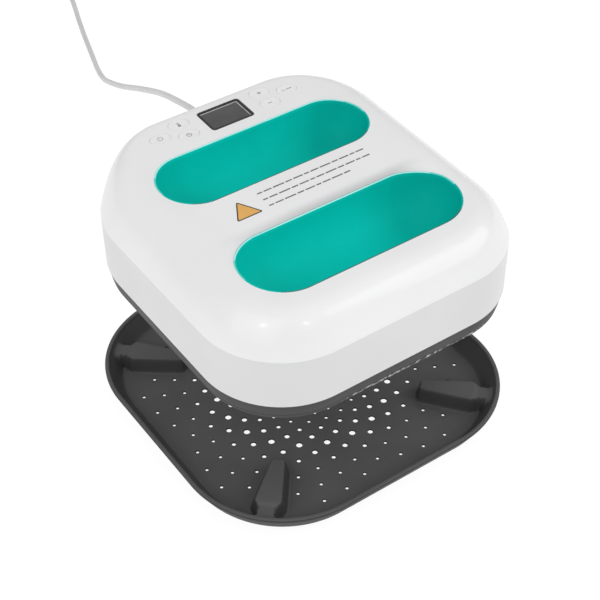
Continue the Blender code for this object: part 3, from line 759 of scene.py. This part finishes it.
def build_well(node, finishes):
    """Teal tub: a bead along its edge with a pale painted highlight at the rear and a dark painted shadow
    in front, then a deep, smooth bowl.
    """
    middle, _, half_width = WELLS[node]
    steps = 22
    levels = [*WELL_BEAD]
    for step in range(steps + 1):
        angle = math.radians(90 * step / steps)
        width = math.cos(angle) ** (2 / WELL_POWER)
        depth = math.sin(angle) ** (2 / WELL_POWER)
        inset = BOWL_INSET + (half_width - BOWL_INSET - 0.0004) * (1 - width)
        levels.append((inset, BOWL_TOP + (WELL_DEPTH - BOWL_TOP) * depth))
    rims = [crown_surface(x, y) - roll_drop(y, node, 0.0) for x, y in well_outline(node, 0.0)]
    floor_height = crown_surface(0.0, middle) - WELL_DEPTH

    def ring_at(inset, depth, drop):
        share = depth / WELL_DEPTH
        ring = []
        for (x, y), rim in zip(well_outline(node, -inset), rims):
            ring.append(Vector((x, y, rim + (floor_height - rim) * share - drop)))
        return ring

    bowl = levels[len(WELL_BEAD) :]
    rings = [ring_at(inset - SKIN, depth, 0.0012) for inset, depth in bowl[::-1]]
    rings += [ring_at(inset, depth, 0.0) for inset, depth in levels]
    mesh = loft_mesh(node + "_surface", rings)
    around = len(rims)
    # Painted light on the bead: pale and softer highlights towards the rear, a dark painted shadow line at
    # the front.
    for number in range(len(bowl) * around, (len(bowl) + len(WELL_BEAD)) * around):
        polygon = mesh.polygons[number]
        towards_rear = (polygon.center.y - middle) / half_width
        if towards_rear > 0.55:
            polygon.material_index = 1
        elif towards_rear > -0.10:
            polygon.material_index = 3
        elif towards_rear < -0.80:
            polygon.material_index = 2
    add_piece(node + "_surface", mesh, finishes, "press", "teal_plastic", (node,), 60)


# Display and keys -------------------------------------------------------------------------------


def panel_point(x, y, lift):
    return Vector((x, y, crown_surface(x, y) + lift))


def on_panel(points, lift):
    return [panel_point(x, y, lift) for x, y in points]


def build_display(black, window, edge):
    """Black frame round a sunken grey window, with the lit edge of the display behind it."""
    half_x, half_y = DISPLAY_HALF
    width = 0.0024
    profile = ((0.0, -0.0045), (0.0, 0.0002), (width, 0.0001), (width, -0.0040))
    profile = rounded_edge(profile, 0.0005, 4)
    rings = []
    for inset, lift in profile:
        corner = max(0.0034 - inset * 0.9, 0.0008)
        points = outline(half_x - inset, half_y - inset, corner, DISPLAY_CENTRE, 8)
        rings.append(on_panel(points, lift))
    bezel = ("press", "gloss_black_plastic", ("display_bezel",), 40)
    add_loft("display_frame", rings, black, *bezel, closed=True)

    pane = []
    for inset, lift in ((width + 0.0002, -0.0030), (width + 0.0002, -0.0010), (width + 0.0006, -0.0009)):
        points = outline(half_x - inset, half_y - inset, 0.0010, DISPLAY_CENTRE, 4)
        pane.append(on_panel(points, lift))
    add_loft("display_pane", pane, window, "press", "display_window", ("display_lens",), 30)

    # The bright strip runs along the rear and the right edge, just above the pane.
    inner_x = half_x - width - 0.0004
    inner_y = half_y - width - 0.0004
    thick = 0.0011
    x0, y0 = DISPLAY_CENTRE
    corners = (
        (x0 - inner_x, y0 + inner_y),
        (x0 - inner_x, y0 + inner_y - thick),
        (x0 + inner_x - thick, y0 + inner_y - thick),
        (x0 + inner_x - thick, y0 - inner_y),
        (x0 + inner_x, y0 - inner_y),
        (x0 + inner_x, y0 + inner_y),
    )
    strip = [on_panel(corners, lift) for lift in (-0.0010, -0.0006)]
    add_loft("display_lit_edge", strip, edge, "press", "display_window", (), 30)


def build_key(button, finish, ink):
    """A shallow oval cap with a soft edge, a faint raised border and its printed sign."""
    x0, y0 = KEY_CENTRES[button]
    half_x, half_y = KEY_HALF
    profile = (
        (0.0, -0.0045), (0.0, -0.00020), (0.00008, -0.00008), (0.00030, 0.00000), (0.0009, 0.00004),
        (0.0014, 0.00002), (0.0018, -0.00006), (0.0024, -0.00010), (0.0035, -0.00011), (0.0055, -0.00012),
    )
    rings = []
    for inset, lift in profile:
        points = stadium(half_x - inset, half_y - inset, (x0, y0), 12)
        rings.append(on_panel(points, lift))
    body = f"{button}_key"
    add_loft(f"{button}_keycap", rings, finish, body, "key_white_plastic", (f"{button}_button",), 50)
    add_print(f"{button}_sign", key_sign(button), (x0, y0), -0.00011, ink, body, "switch_black")


def arc(centre, radius, start, end, steps=18):
    points = []
    for step in range(steps + 1):
        angle = math.radians(start + (end - start) * step / steps)
        points.append((centre[0] + radius * math.cos(angle), centre[1] + radius * math.sin(angle)))
    return points


def key_sign(button):
    """Lines of each key's sign, in metres about the key's middle: (points, width, closed)."""
    line = 0.0005
    if button == "power":
        ring = arc((0.0, 0.0), 0.0024, 125, 415)
        return [(ring, line, False), ([(0.0, 0.0010), (0.0, 0.0032)], line, False)]
    if button == "temperature":
        stem = [(-0.0006, -0.0008), (-0.0006, 0.0030), (0.0006, 0.0030), (0.0006, -0.0008)]
        return [(stem, line, False), (arc((0.0, -0.0018), 0.0009, 0, 340), 0.0011, True)]
    if button == "timer":
        hands = [(0.0, 0.0012), (0.0, 0.0), (0.0010, 0.0)]
        return [(arc((0.0, 0.0), 0.0023, 0, 345), line, True), (hands, line, False)]
    if button == "plus":
        level_bar = ([(-0.0017, 0.0), (0.0017, 0.0)], 0.0007, False)
        return [level_bar, ([(0.0, -0.0017), (0.0, 0.0017)], 0.0007, False)]
    if button == "minus":
        return [([(-0.0017, 0.0), (0.0017, 0.0)], 0.0007, False)]
    arrow = [(-0.0048, -0.0015), (-0.0048, 0.0015), (-0.0023, 0.0)]
    return [(arrow, line, True), ([(-0.0004, 0.0), (0.0050, 0.0)], 0.0008, False)]


def stroke(bm, points, width, closed, lift_point):
    """A flat ribbon along a line, a tenth of a millimetre thick."""
    flat = [Vector((x, y)) for x, y in points]
    last = len(flat) - 1
    rings = []
    for i, point in enumerate(flat):
        before = flat[i - 1] if closed or i > 0 else point
        after = flat[(i + 1) % len(flat)] if closed or i < last else point
        along = (after - before).normalized()
        across = Vector((-along.y, along.x)) * (width / 2)
        if not closed and i in (0, last):
            point = point + along * (width / 2) * (1 if i else -1)
        left = point + across
        right = point - across
        top = [lift_point(*left, 0.0), lift_point(*right, 0.0)]
        rings.append([*top, lift_point(*right, -0.0001), lift_point(*left, -0.0001)])
    skin(bm, rings, closed)


def add_print(name, strokes, centre, lift, ink, body, slot):
    """Printed lines lying on the panel, a few hundredths of a millimetre thick."""
    bm = bmesh.new()

    def place(x, y, down):
        return panel_point(centre[0] + x, centre[1] + y, lift + 0.00004 + down)

    for points, width, closed in strokes:
        stroke(bm, points, width, closed, place)
    return add_piece(name, mesh_from(bm, name), ink, body, slot)


MARK_CENTRE = (-0.0604, -0.0093)
MARK_SIDE = 0.0245
BAR_LEFT = -0.0390
BAR_ROWS = ((0.0045, 0.0710), (-0.0048, 0.0712), (-0.0138, 0.0435))
BAR_HEIGHT = 0.0015
BAR_GAP = 0.0016


def build_marks(amber, ink, dark):
    """A plain amber triangle with a dark outline, and three rows of short plain bars."""
    height = MARK_SIDE * math.sqrt(3) / 2
    corners = ((0.0, height * 2 / 3), (-MARK_SIDE / 2, -height / 3), (MARK_SIDE / 2, -height / 3))
    soft = []
    for i, corner in enumerate(corners):
        turn = 90 + 120 * i
        centre = tuple(value * 0.88 for value in corner)
        soft += arc(centre, MARK_SIDE * 0.030, turn - 60, turn + 60, 6)
    x0, y0 = MARK_CENTRE
    rings = []
    for lift in (-0.0001, 0.00005):
        rings.append(on_panel([(x0 + x, y0 + y) for x, y in soft], lift))
    add_loft("amber_triangle", rings, amber, "press", "gloss_black_plastic", (), 30)
    line = [(soft, 0.0011, True)]
    add_print("triangle_outline", line, MARK_CENTRE, 0.00005, dark, "press", "switch_black")
    strokes = []
    for row, (y, end) in enumerate(BAR_ROWS):
        x = BAR_LEFT
        number = row * 5
        while x < end - 0.002:
            length = min(0.0034 + 0.0016 * ((number * 7) % 5), end - x)
            strokes.append(([(x, y), (x + length, y)], BAR_HEIGHT, False))
            x += length + BAR_GAP + BAR_HEIGHT
            number += 1
    add_print("plain_bars", strokes, (0.0, 0.0), 0.00003, ink, "press", "switch_black")


# Underside --------------------------------------------------------------------------------------


def build_skirt(finish):
    """Dark skirt below the shell: a slanted band, a fine groove, and a lip along its lower edge."""
    ring_low, ring_high = node_box("base_ring")
    height = ring_high.z - ring_low.z
    clear = plan_box("heat_plate")[1][0] + 0.0012
    profile = (
        (0.0030, 0.0), (0.0018, -0.0003), (0.0024, -0.0108), (0.0036, -0.0113), (0.0037, -0.0119),
        (0.0033, -0.0123), (0.0034, -0.0150), (0.0042, -height),
    )
    rings = []
    for inset, drop in rounded_edge(profile, 0.0005, 3):
        rings.append([Vector((x, y, ring_high.z + drop)) for x, y in plan(inset)])
    opening = outline(clear, clear, 0.0562, steps=24)
    rings.append([Vector((x, y, ring_low.z)) for x, y in opening])
    rings.append([Vector((x, y, ring_high.z)) for x, y in opening])
    add_flecks(finish, ring_low.z, ring_low.z + 0.0031, grey(0.42))
    add_loft("skirt", rings, finish, "press", "ring_dark_grey", ("base_ring",), 32, closed=True)


# Stand tray -------------------------------------------------------------------------------------

TRAY_LOW, TRAY_HIGH = node_box("stand_tray")
TRAY_HALF = 0.164
TRAY_RADIUS = 0.0994
TRAY_BOTTOM = TRAY_LOW.z
TRAY_RIM = TRAY_HIGH.z
TRAY_FLOOR = 0.0056
WALL_FOOT = 0.0108
FLOOR_INSET = 0.0172
LIP_WIDTH = 0.0050
COVE = 0.0085  # how wide the soft corner between the floor and the wall is

HOLES_PER_RING = 20
LARGEST_RING = 0.0835
RING_STEP = 0.0097
LARGEST_HOLE = 0.0060
SMALLEST_HOLE = 0.0031
HOLE_STEP = 0.0010
HOLE_MARGIN = 0.0065
HOLE_NECK = 0.0010  # straight depth below the floor's face, before the hole flares out
HOLE_FLARE = 0.0012

RIB_TOP = 0.0210
RIB_START = 0.1120
RIB_REACH = 0.0160  # holes keep clear of this half width
# (distance from the centre, half width of the top, half width of the foot) along a corner support
RIB_WIDTHS = (
    (0.1105, 0.0004, 0.0030),
    (0.1125, 0.0022, 0.0075),
    (0.1150, 0.0042, 0.0108),
    (0.1200, 0.0055, 0.0124),
    (0.1400, 0.0080, 0.0152),
    (0.1580, 0.0102, 0.0172),
    (0.1640, 0.0108, 0.0180),
    (0.1675, 0.0088, 0.0164),
    (0.1710, 0.0072, 0.0138),
    (0.1760, 0.0068, 0.0120),
    (0.2000, 0.0066, 0.0105),
)


def tray_outline(inset):
    return outline(TRAY_HALF - inset, TRAY_HALF - inset, TRAY_RADIUS - inset, steps=40)


def inside_tray(x, y):
    """Distance from the tray's outer outline, positive inside it."""
    return -from_rounded_box(x, y, (0.0, 0.0), TRAY_HALF, TRAY_HALF, TRAY_RADIUS)


def from_support(x, y):
    """Distance from the tray's centre along the nearest corner support's line, and distance off it."""
    return (abs(x) + abs(y)) / math.sqrt(2), abs(abs(x) - abs(y)) / math.sqrt(2)


def rib_widths(along):
    """Half widths of a support's top and foot at a distance from the tray's centre."""
    for (start, top1, foot1), (end, top2, foot2) in zip(RIB_WIDTHS, RIB_WIDTHS[1:]):
        if start <= along <= end:
            t = (along - start) / (end - start)
            return top1 + (top2 - top1) * t, foot1 + (foot2 - foot1) * t
    return None


def rib_height(x, y):
    """Height above the floor of the nearest corner support over a point, or 0 away from it."""
    along, across = from_support(x, y)
    widths = rib_widths(along)
    if widths is None or across > widths[1]:
        return 0.0
    top = RIB_TOP - TRAY_FLOOR
    top *= smoothstep(RIB_START - 0.0012, RIB_START + 0.0042, along)
    top -= 0.0018 * smoothstep(0.1655, 0.1705, along)
    crest, foot = widths
    return top * (1 - smoothstep(0.0, 1.0, (across - crest) / (foot - crest)))


def tray_surface(x, y):
    """Height of the tray's inner face: floor, cove, flared wall and supports."""
    inset = inside_tray(x, y)
    wall_run = FLOOR_INSET - LIP_WIDTH
    wall = TRAY_FLOOR + (TRAY_RIM - 0.0006 - TRAY_FLOOR) * (FLOOR_INSET - inset) / wall_run
    blend = COVE * 0.9
    gap = wall - TRAY_FLOOR
    # A soft maximum of the floor and the wall.
    soft = TRAY_FLOOR + 0.5 * (gap + math.sqrt(gap * gap + (blend * 0.45) ** 2)) - blend * 0.225
    fade = smoothstep(-0.5 * blend, 0.0, gap)
    base = TRAY_FLOOR + (soft - TRAY_FLOOR) * fade if gap < 0 else soft
    base = max(base, TRAY_FLOOR)
    rib = TRAY_FLOOR + rib_height(x, y)
    top = max(base, rib)
    low = min(base, rib)
    near = 0.0016
    if top - low < near:
        top += (near - (top - low)) ** 2 / (4 * near)
    return min(top, TRAY_RIM - 0.0002)


def tray_holes():
    holes = []
    floor_half = TRAY_HALF - FLOOR_INSET
    floor_radius = TRAY_RADIUS - FLOOR_INSET
    for ring in range(-5, 8):
        distance = LARGEST_RING + ring * RING_STEP
        radius = max(SMALLEST_HOLE, LARGEST_HOLE - abs(ring) * HOLE_STEP) / 2
        for number in range(HOLES_PER_RING):
            angle = 2 * math.pi * (number + 0.5 * (ring % 2)) / HOLES_PER_RING - math.pi / 2
            x = distance * math.cos(angle)
            y = distance * math.sin(angle)
            if -from_rounded_box(x, y, (0.0, 0.0), floor_half, floor_half, floor_radius) < HOLE_MARGIN:
                continue
            along, across = from_support(x, y)
            clearance = radius + 0.0015
            if RIB_START - clearance < along < 0.1715 + clearance and across < RIB_REACH + clearance:
                continue
            holes.append((x, y, radius))
    return holes


def build_tray(finishes):
    """One moulding: perforated floor, cove, flared wall with a rounded lip, and four supports."""
    bm = bmesh.new()
    holes = tray_holes()
    openings = []
    rings = []
    for x, y, radius in holes:
        sides = 20 if radius > 0.0015 else 14
        openings.append(circle(x, y, radius, sides))
        rings.append(circle(x, y, radius + 0.00032, sides))
    edge = LIP_WIDTH
    wall_insets = [edge + 0.0012 * i for i in range(1, 14)]
    rings += [tray_outline(inset) for inset in wall_insets]
    free = []
    for x, y in hex_points(TRAY_HALF, TRAY_HALF, 0.0050):
        if inside_tray(x, y) < wall_insets[-1] + 0.002:
            continue
        near_hole = any((x - hx) ** 2 + (y - hy) ** 2 < (radius + 0.0016) ** 2 for hx, hy, radius in holes)
        along, across = from_support(x, y)
        if near_hole or (along > 0.1075 and across < 0.0205):
            continue
        free.append((x, y))
    spacing = 0.0009
    for number in range(4):
        turn = math.radians(45 + 90 * number)
        direction = Vector((math.cos(turn), math.sin(turn)))
        side = Vector((-direction.y, direction.x))
        for i in range(int(0.070 / spacing)):
            for j in range(-23, 24):
                point = direction * (0.1085 + i * spacing) + side * ((j + 0.5 * (i % 2)) * spacing)
                if inside_tray(point.x, point.y) > edge + 0.0006:
                    free.append((point.x, point.y))
    boundary = tray_outline(edge)
    points, faces = sheet(boundary, openings, rings, free)
    over = [bm.verts.new((*point, tray_surface(*point))) for point in points]
    # Hole edges are eased: the loop on the hole itself sits a little lower.
    start = len(boundary)
    hole_tops = []
    for opening in openings:
        loop = over[start : start + len(opening)]
        for vert in loop:
            vert.co.z -= 0.00015
        hole_tops.append(loop)
        start += len(opening)
    # Faces touching a hole's edge take the dark hole-wall material: painted shade.
    on_edge = {vert for loop in hole_tops for vert in loop}
    for face in faces:
        made = bm.faces.new([over[i] for i in face])
        if any(vert in on_edge for vert in made.verts):
            made.material_index = 1

    profile = (
        (LIP_WIDTH, TRAY_RIM - 0.0006), (0.0036, TRAY_RIM), (0.0013, TRAY_RIM), (0.0005, TRAY_RIM - 0.0010),
        (0.0005, TRAY_RIM - 0.0028), (WALL_FOOT - 0.0012, TRAY_BOTTOM + 0.0022),
        (WALL_FOOT + 0.0020, TRAY_BOTTOM),
    )
    walls = [over[: len(boundary)]]
    for inset, height in rounded_edge(profile, 0.0010, 3)[1:]:
        walls.append([bm.verts.new((x, y, height)) for x, y in tray_outline(inset)])
    for low, high in zip(walls, walls[1:]):
        join_loops(bm, low, high)
    under_loop = tray_outline(WALL_FOOT + 0.0020)
    flares = [circle(x, y, radius + HOLE_FLARE, len(top)) for top, (x, y, radius) in zip(hole_tops, holes)]
    points, faces = sheet(under_loop, flares, [], [])
    under = [bm.verts.new((*point, TRAY_BOTTOM)) for point in points]
    for face in faces:
        bm.faces.new([under[i] for i in reversed(face)])
    start = len(under_loop)
    for top, (x, y, radius) in zip(hole_tops, holes):
        neck = [bm.verts.new((px, py, TRAY_FLOOR - HOLE_NECK)) for px, py in circle(x, y, radius, len(top))]
        first = len(bm.faces)
        join_loops(bm, top, neck)
        join_loops(bm, neck, under[start : start + len(top)])
        bm.faces.ensure_lookup_table()
        # The hole walls take the dark hole-wall material too: painted shade.
        for face in bm.faces[first:]:
            face.material_index = 1
        start += len(top)
    bmesh.ops.remove_doubles(bm, verts=walls[-1] + under[: len(under_loop)], dist=0.000001)
    for vert in [vert for vert in bm.verts if not vert.link_faces]:
        bm.verts.remove(vert)
    mesh = mesh_from(bm, "tray_moulding")
    add_piece("tray_moulding", mesh, finishes, "tray", "tray_dark_grey", ("stand_tray",), 60)


# Cord -------------------------------------------------------------------------------------------

CORD_RADIUS = 0.0032
CORD_EXIT = (0.0200, HALF_Y, SHELL_Z + 0.038)
RELIEF_LENGTH = 0.026
CORD_ROUTE_HANGING = (
    (0.0200, 0.1809, 0.1965),
    (0.0200, 0.2080, 0.1960),
    (0.0212, 0.2420, 0.1880),
    (0.0312, 0.2931, 0.1650),
    (0.0484, 0.3703, 0.1220),
    (0.0674, 0.4568, 0.0720),
    (0.0861, 0.5312, 0.0320),
    (0.0978, 0.5680, 0.0142),
    (0.1075, 0.5990, 0.0054),
    (0.1154, 0.6232, 0.0032),
)
CORD_ROUTE_ON_TABLE = (
    (0.1227, 0.6470, 0.0032),
    (0.1332, 0.6810, 0.0032),
    (0.1463, 0.7207, 0.0032),
    (0.1580, 0.7540, 0.0032),
    (0.1648, 0.7755, 0.0032),
    (0.1670, 0.7895, 0.0032),
)
COIL_CENTRE = (0.2110, 0.8145)
COIL_BOTTOM = 0.0016
COIL_RADII = (0.0440, 0.0375, 0.0310)  # outer, middle and inner turns
COIL_STEPS = 40
CORD_ROUTE_TAIL = (
    (0.2360, 0.8585, 0.0032),
    (0.2500, 0.8570, 0.0036),
    (0.2635, 0.8510, 0.0052),
    (0.2735, 0.8415, 0.0078),
    (0.2784, 0.8302, 0.0098),
    (0.2798, 0.8220, 0.0104),
    (0.2800, 0.8165, 0.0105),
)


def smooth_route(points, spacing):
    """Catmull-Rom curve through the points, sampled at even steps."""
    route = [Vector(point) for point in points]
    padded = [2 * route[0] - route[1], *route, 2 * route[-1] - route[-2]]
    fine = []
    for a, b, c, d in zip(padded, padded[1:], padded[2:], padded[3:]):
        for step in range(24):
            t = step / 24
            square = (2 * a - 5 * b + 4 * c - d) * t**2
            cube = (3 * b - a - 3 * c + d) * t**3
            fine.append(0.5 * (2 * b + (c - a) * t + square + cube))
    fine.append(route[-1])
    total = sum((q - p).length for p, q in zip(fine, fine[1:]))
    count = max(2, round(total / spacing))
    even = [fine[0]]
    walked = 0.0
    for p, q in zip(fine, fine[1:]):
        step = (q - p).length
        while walked + step >= len(even) * total / count and len(even) < count:
            even.append(p.lerp(q, (len(even) * total / count - walked) / step))
        walked += step
    even.append(fine[-1])
    return even


def coil_route():
    """Four and a quarter turns, clockwise from the left: three side by side, then one on top of them."""
    low = COIL_BOTTOM + CORD_RADIUS
    high = low + 2 * CORD_RADIUS
    outer, middle, inner = COIL_RADII
    turns = ((outer, low), (middle, low), (inner, low), (middle, high), (outer, high))
    points = []
    total = int(4.25 * COIL_STEPS)
    for step in range(total + 1):
        turn = step / COIL_STEPS
        whole = min(int(turn), 4)
        part = turn - whole
        radius, height = turns[whole]
        if whole < 4:
            shift = smoothstep(0.70, 1.0, part)
            radius += (turns[whole + 1][0] - radius) * shift
            height += (turns[whole + 1][1] - height) * shift
        angle = math.pi - 2 * math.pi * turn
        x = COIL_CENTRE[0] + radius * math.cos(angle)
        y = COIL_CENTRE[1] + radius * math.sin(angle)
        points.append((x, y, height))
    return points


def cord_path():
    exit_point = Vector(CORD_EXIT)
    lead = [exit_point, exit_point + Vector((0.0, 0.012, 0.0))]
    start = smooth_route([*lead, *CORD_ROUTE_HANGING, *CORD_ROUTE_ON_TABLE], 0.0085)
    coil = coil_route()
    tail = smooth_route([coil[-1], *CORD_ROUTE_TAIL], 0.0065)
    whole = [*start, *coil, *tail[1:]]
    route = smooth_route(whole, 0.0055)
    for point in route:
        point.z = max(point.z, CORD_RADIUS + 0.00002)
    return route


def tube_rings(path, radius):
    """Rings across a path that turn with it and don't twist."""
    rings = []
    across = None
    for i, point in enumerate(path):
        ahead = path[min(i + 1, len(path) - 1)]
        behind = path[max(i - 1, 0)]
        along = (ahead - behind).normalized()
        if across is None:
            across = along.orthogonal().normalized()
        across = (across - along * across.dot(along)).normalized()
        other = along.cross(across)
        rings.append([point + x * across + y * other for x, y in circle(0.0, 0.0, radius, 14)])
    return rings


def build_cord(finish):
    path = cord_path()
    cord = add_loft("mains_cord", tube_rings(path, CORD_RADIUS), finish, None, "cord_grey", (), 60)
    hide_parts("cord_hanging", "cord_on_table", "cord_coil", "cord_tail")
    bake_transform(cord)


def build_relief(finish):
    """Tapered rubber boot with grooves across it."""
    profile = [(0.0034, -0.0030), (0.0066, -0.0030), (0.0066, 0.0004), (0.0082, 0.0004), (0.0082, 0.0024)]
    ribs = 6
    start = 0.0030
    pitch = (RELIEF_LENGTH - 0.0035 - start) / ribs
    for rib in range(ribs):
        low = start + rib * pitch
        radius = 0.0076 - 0.0026 * (rib / (ribs - 1))
        profile += [(radius - 0.0009, low), (radius, low + 0.0004), (radius, low + pitch - 0.0012)]
        profile += [(radius - 0.0009, low + pitch - 0.0008)]
    profile += [(0.0047, RELIEF_LENGTH - 0.0032), (0.0046, RELIEF_LENGTH - 0.0006), (0.0042, RELIEF_LENGTH)]
    profile += [(0.0034, RELIEF_LENGTH)]
    rings = turned_rings(profile, CORD_EXIT, (0.0, 1.0, 0.0))
    boot = ("press", "cord_grey", ("cord_strain_relief",), 35)
    return add_loft("strain_relief", rings, finish, *boot, closed=True)


def build_plug(finish):
    """Moulded plug with a ribbed neck and soft-edged body."""
    low, high = node_box("plug_body")
    x0 = (low.x + high.x) / 2
    z0 = CORD_ROUTE_TAIL[-1][2]
    start = high.y
    sections = [(0.0, 0.0042, 0.0042), (0.0005, 0.0046, 0.0046)]
    for rib in range(4):
        at = 0.0012 + rib * 0.0036
        size = 0.0048 + rib * 0.0003
        for ahead, wider in ((0.0, 0.0), (0.0024, 0.0001), (0.0027, -0.0007), (0.0033, -0.0007)):
            sections.append((at + ahead, size + wider, size + wider))
    sections += [(0.0165, 0.0062, 0.0060), (0.0205, 0.0092, 0.0078), (0.0240, 0.0123, 0.0096)]
    sections += [(0.0330, 0.0131, 0.0100), (0.0446, 0.0135, 0.0102), (0.0456, 0.0132, 0.0099)]
    sections.append((0.0460, 0.0124, 0.0092))
    rings = []
    for along, half_x, half_z in sections:
        ring = []
        for x, z in outline(half_x, half_z, half_z * 0.78, steps=8):
            ring.append(Vector((x0 + x, start - along, z0 + z)))
        rings.append(ring)
    return add_loft("mains_plug", rings, finish, "tray", "cord_grey", ("plug_body",), 40)


# Carried-over CAD nodes -------------------------------------------------------------------------


def dress_nodes(made):
    """Gives every CAD node that still shows its own procedural material."""
    looks = {
        "lcd_module": "board", "control_board": "board", "power_board": "board", "power_relay": "switch",
        "mains_terminal": "nylon", "heat_plate": "coating", "heating_element": "sheath",
        "insulation_pad": "fibre", "heat_shield": "steel", "thermal_cutoff": "steel",
        "temperature_sensor": "sheath", "cord_tie": "switch", "plug_blade_left": "blade",
        "plug_blade_right": "blade", "plug_ground_pin": "blade",
    }
    for button in BUTTONS:
        looks[f"{button}_switch"] = "switch"
    for number in range(1, 5):
        looks[f"housing_screw_{number}"] = "steel"
        looks[f"rubber_foot_{number}"] = "rubber"
    for node, look in looks.items():
        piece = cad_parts[node]
        if not piece.material_slots:
            piece.data.materials.append(made[look])
        for place in piece.material_slots:
            place.material = made[look]


def main():
    make_camera()
    made = make_materials()
    relief = build_relief(made["cord"])
    plug = build_plug(made["cord"])
    build_cord(made["cord"])
    build_shell([made["white"], made["white_side"]])
    for node in WELLS:
        build_well(node, [made["teal"], made["pale_teal_painted_highlight"], made["teal_painted_shadow"], made["teal_soft"]])
    build_display(made["black"], made["window"], made["lcd_edge"])
    for button in BUTTONS:
        build_key(button, made["key"], made["print"])
    build_marks(made["amber"], made["print"], made["dark_print"])
    build_skirt(made["ring"])
    build_tray([made["tray"], made["bore"]])
    dress_nodes(made)
    make_floor()
    make_light()


main()
